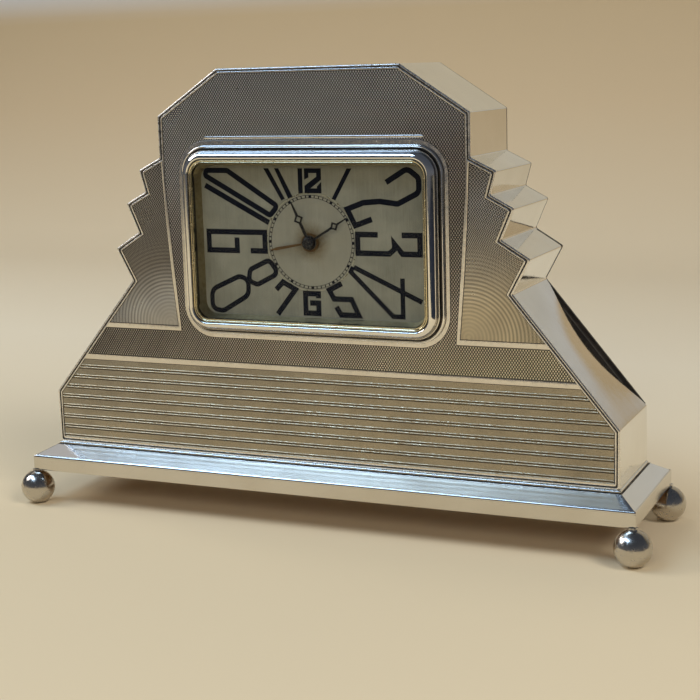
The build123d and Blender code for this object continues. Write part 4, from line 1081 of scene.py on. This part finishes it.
def print_light_ring():
    """The bright line scribed round the minute track."""
    ring = Print()
    ring.ring(16.75, 0.42)
    scribed = polished_silver("dial_scribed_ring", (0.42, 0.40, 0.33), rough=0.3)
    ring.ink.piece("dial_scribed_ring", [scribed], "case", "dial_silvered", angle=30, weld=False)


# -------- looks of the CAD pieces that stay

def wear_look(material, *nodes):
    for node in nodes:
        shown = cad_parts[node]
        shown.data.materials.clear()
        shown.data.materials.append(material)


def dress_cad_pieces():
    wear_look(DIAL, "dial")
    wear_look(GLASS, "glass")
    wear_look(HAND_BLACK, "minute_hand", "hour_hand")
    wear_look(HAND_BROWN, "alarm_hand")
    wear_look(CAP_DARK, "hub_cap")
    wear_look(EBONISED, "back_board", "back_door")
    wear_look(BEECH, "carcass", "plinth_board")
    wear_look(NICKEL, "bell")
    wear_look(SPRING, "time_mainspring", "alarm_mainspring")
    wear_look(STEEL, "case_screws", "centre_arbor", "alarm_set_arbor", "time_arbor", "alarm_arbor",
              "escape_wheel", "pallet_fork", "hairspring", "hammer")
    wear_look(BRASS_TURNED, "door_knob", "hand_set_knob", "alarm_set_knob", "pillars", "nuts",
              "cannon_pinion", "balance_wheel", "wood_screws")
    wear_look(BRASS, "hinge_fixed_leaf", "hinge_door_leaf", "hinge_pin", "movement_front_plate",
              "movement_back_plate", "mounting_straps", "centre_wheel", "third_wheel", "fourth_wheel",
              "minute_wheel", "hour_wheel", "alarm_wheel", "time_great_wheel", "alarm_great_wheel",
              "alarm_verge_wheel", "regulator", "alarm_stop_lever", "time_key", "alarm_key")


# -------- stage, light and camera

def paper_with_painted_light():
    look = Look("stage_paper_painted_light", (0.52, 0.45, 0.31), 0.0, 0.75)
    look.shader.inputs["Specular IOR Level"].default_value = 0.085
    _, y, z = look.xyz()
    # Painted light and shade along the sweep: brighter on the floor just behind the clock, darker where the
    # sheet turns up, then grey and warm again up the backdrop.
    run = look.span(look.plus(y, z), -1000.0, 2000.0)
    look.colour(look.ramp(run, [
        (0.0, (0.68, 0.555, 0.36)), (0.32, (0.68, 0.555, 0.36)), (0.43, (0.80, 0.69, 0.50)),
        (0.58, (0.77, 0.635, 0.43)), (0.68, (0.64, 0.49, 0.30)), (0.737, (0.56, 0.425, 0.25)),
        (0.752, (0.64, 0.62, 0.58)), (0.80, (0.64, 0.62, 0.55)), (0.84, (0.65, 0.575, 0.43)),
        (1.0, (0.65, 0.575, 0.44)),
    ]))
    look.bump(look.noise(0.4, 4.0), 0.02)
    return look.material


def build_stage():
    """A sheet of pale paper: floor in front, swept up into a backdrop behind."""
    bend, start, top, half = 420.0, 620.0, 1250.0, 2200.0
    section = [(-1000.0, 0.0), (0.0, 0.0), (start, 0.0)]
    for step in range(1, 17):
        angle = math.radians(90 * step / 16)
        section.append((start + bend * math.sin(angle), bend - bend * math.cos(angle)))
    section.append((start + bend, top))
    sheet = bpy.data.meshes.new("paper_sweep")
    points = [(x * MM, y * MM, z * MM) for y, z in section for x in (-half, half)]
    faces = [(2 * i, 2 * i + 1, 2 * i + 3, 2 * i + 2) for i in range(len(section) - 1)]
    sheet.from_pydata(points, [], faces)
    sheet.polygons.foreach_set("use_smooth", [True] * len(faces))
    sheet.materials.append(paper_with_painted_light())
    put_in_scene("paper_sweep", sheet)


def build_flag():
    """A dark card on the floor at the front right, hidden from the camera.
    Polished edges mirror it as dark lines."""
    near, far, front, rear, lift = 270.0, 1600.0, -1000.0, -60.0, 1.0
    card = bpy.data.meshes.new("dark_flag")
    points = [(near, front), (far, front), (far, rear), (near, rear)]
    card.from_pydata([(x * MM, y * MM, lift * MM) for x, y in points], [], [(0, 1, 2, 3)])
    felt = Look("dark_felt", (0.010, 0.013, 0.022), 0.0, 0.9)
    felt.bump(felt.noise(0.5, 4.0), 0.3)
    card.materials.append(felt.material)
    flag = put_in_scene("dark_flag", card)
    flag.visible_camera = False
    flag.visible_diffuse = False
    flag.visible_shadow = False


def softbox(name, place, aim, size, power, colour, in_mirrors=True):
    """An oblong area light at a place in millimetres, facing another. Some are kept out of reflections."""
    lamp = bpy.data.lights.new(name, "AREA")
    lamp.shape = "RECTANGLE"
    lamp.size, lamp.size_y = size[0] * MM, size[1] * MM
    lamp.energy = power
    lamp.color = colour
    holder = put_in_scene(name, lamp)
    holder.location = Vector(place) * MM
    holder.rotation_euler = (Vector(aim) - Vector(place)).to_track_quat("-Z", "Y").to_euler()
    holder.visible_camera = False
    holder.visible_glossy = in_mirrors


def build_light():
    softbox("key_box", (-520, -480, 1080), (0, 0, 40), (900, 270), 6.0, (0.48, 0.70, 1.0))
    softbox("fill_left", (-1150, -250, 900), (0, 0, 0), (500, 500), 6, (0.98, 0.98, 1.0))
    softbox("fill_right", (950, -500, 950), (0, 0, 60), (500, 500), 9, (1.0, 0.98, 0.97), False)
    softbox("fill_front", (250, -1150, 650), (0, 200, 0), (700, 350), 5, (1.0, 0.96, 0.90), False)
    softbox("fill_back", (-650, 300, 1500), (-450, 600, 0), (700, 300), 3.0, (1.0, 0.96, 0.90), False)
    softbox("left_card", (-1050, 500, 1250), (-110, 0, 20), (500, 500), 0.3, (1.0, 0.92, 0.80))
    world = bpy.data.worlds.new("room")
    bpy.context.scene.world = world
    world.use_nodes = True
    tree = world.node_tree
    ground = tree.nodes["Background"]
    place = tree.nodes.new("ShaderNodeTexCoord")
    parts = tree.nodes.new("ShaderNodeSeparateXYZ")
    ramp = tree.nodes.new("ShaderNodeValToRGB")
    height = tree.nodes.new("ShaderNodeMapRange")
    height.inputs[1].default_value = -1.0
    height.inputs[2].default_value = 1.0
    tree.links.new(place.outputs["Generated"], parts.inputs[0])
    tree.links.new(parts.outputs[2], height.inputs[0])
    tree.links.new(height.outputs[0], ramp.inputs[0])
    tree.links.new(ramp.outputs[0], ground.inputs["Color"])
    set_stops(ramp.color_ramp, [
        (0.0, (0.10, 0.09, 0.08)), (0.45, (0.10, 0.10, 0.105)), (0.56, (0.10, 0.105, 0.12)),
        (0.75, (0.06, 0.068, 0.085)), (1.0, (0.05, 0.058, 0.075)),
    ])


# Azimuth, height and roll in degrees.
CAMERA_ANGLES = (24.117, 10.758, -1.618)
CAMERA_PLACE = (216.8, -472.1, 158.0)
CAMERA_LENS = 76.35


def build_camera():
    azimuth, height, roll = (math.radians(angle) for angle in CAMERA_ANGLES)
    level = math.cos(height)
    back = Vector((math.sin(azimuth) * level, -math.cos(azimuth) * level, math.sin(height)))
    right = Vector((math.cos(azimuth), math.sin(azimuth), 0.0))
    up = back.cross(right)
    turned_right = right * math.cos(roll) + up * math.sin(roll)
    turned_up = up * math.cos(roll) - right * math.sin(roll)
    camera = bpy.data.cameras.new("camera")
    camera.sensor_width = 36.0
    camera.lens = CAMERA_LENS
    camera.clip_start, camera.clip_end = 0.01, 20.0
    holder = put_in_scene("camera", camera)
    holder.rotation_mode = "QUATERNION"
    holder.rotation_quaternion = Matrix((turned_right, turned_up, back)).transposed().to_quaternion()
    holder.location = Vector(CAMERA_PLACE) * MM
    bpy.context.scene.camera = holder


build_front_plate()
build_dial_frame()
build_side_band()
build_plinth()
build_feet()
print_numerals()
print_track()
print_light_ring()
dress_cad_pieces()
build_stage()
build_flag()
build_light()
build_camera()
bpy.context.scene.view_settings.view_transform = "Standard"
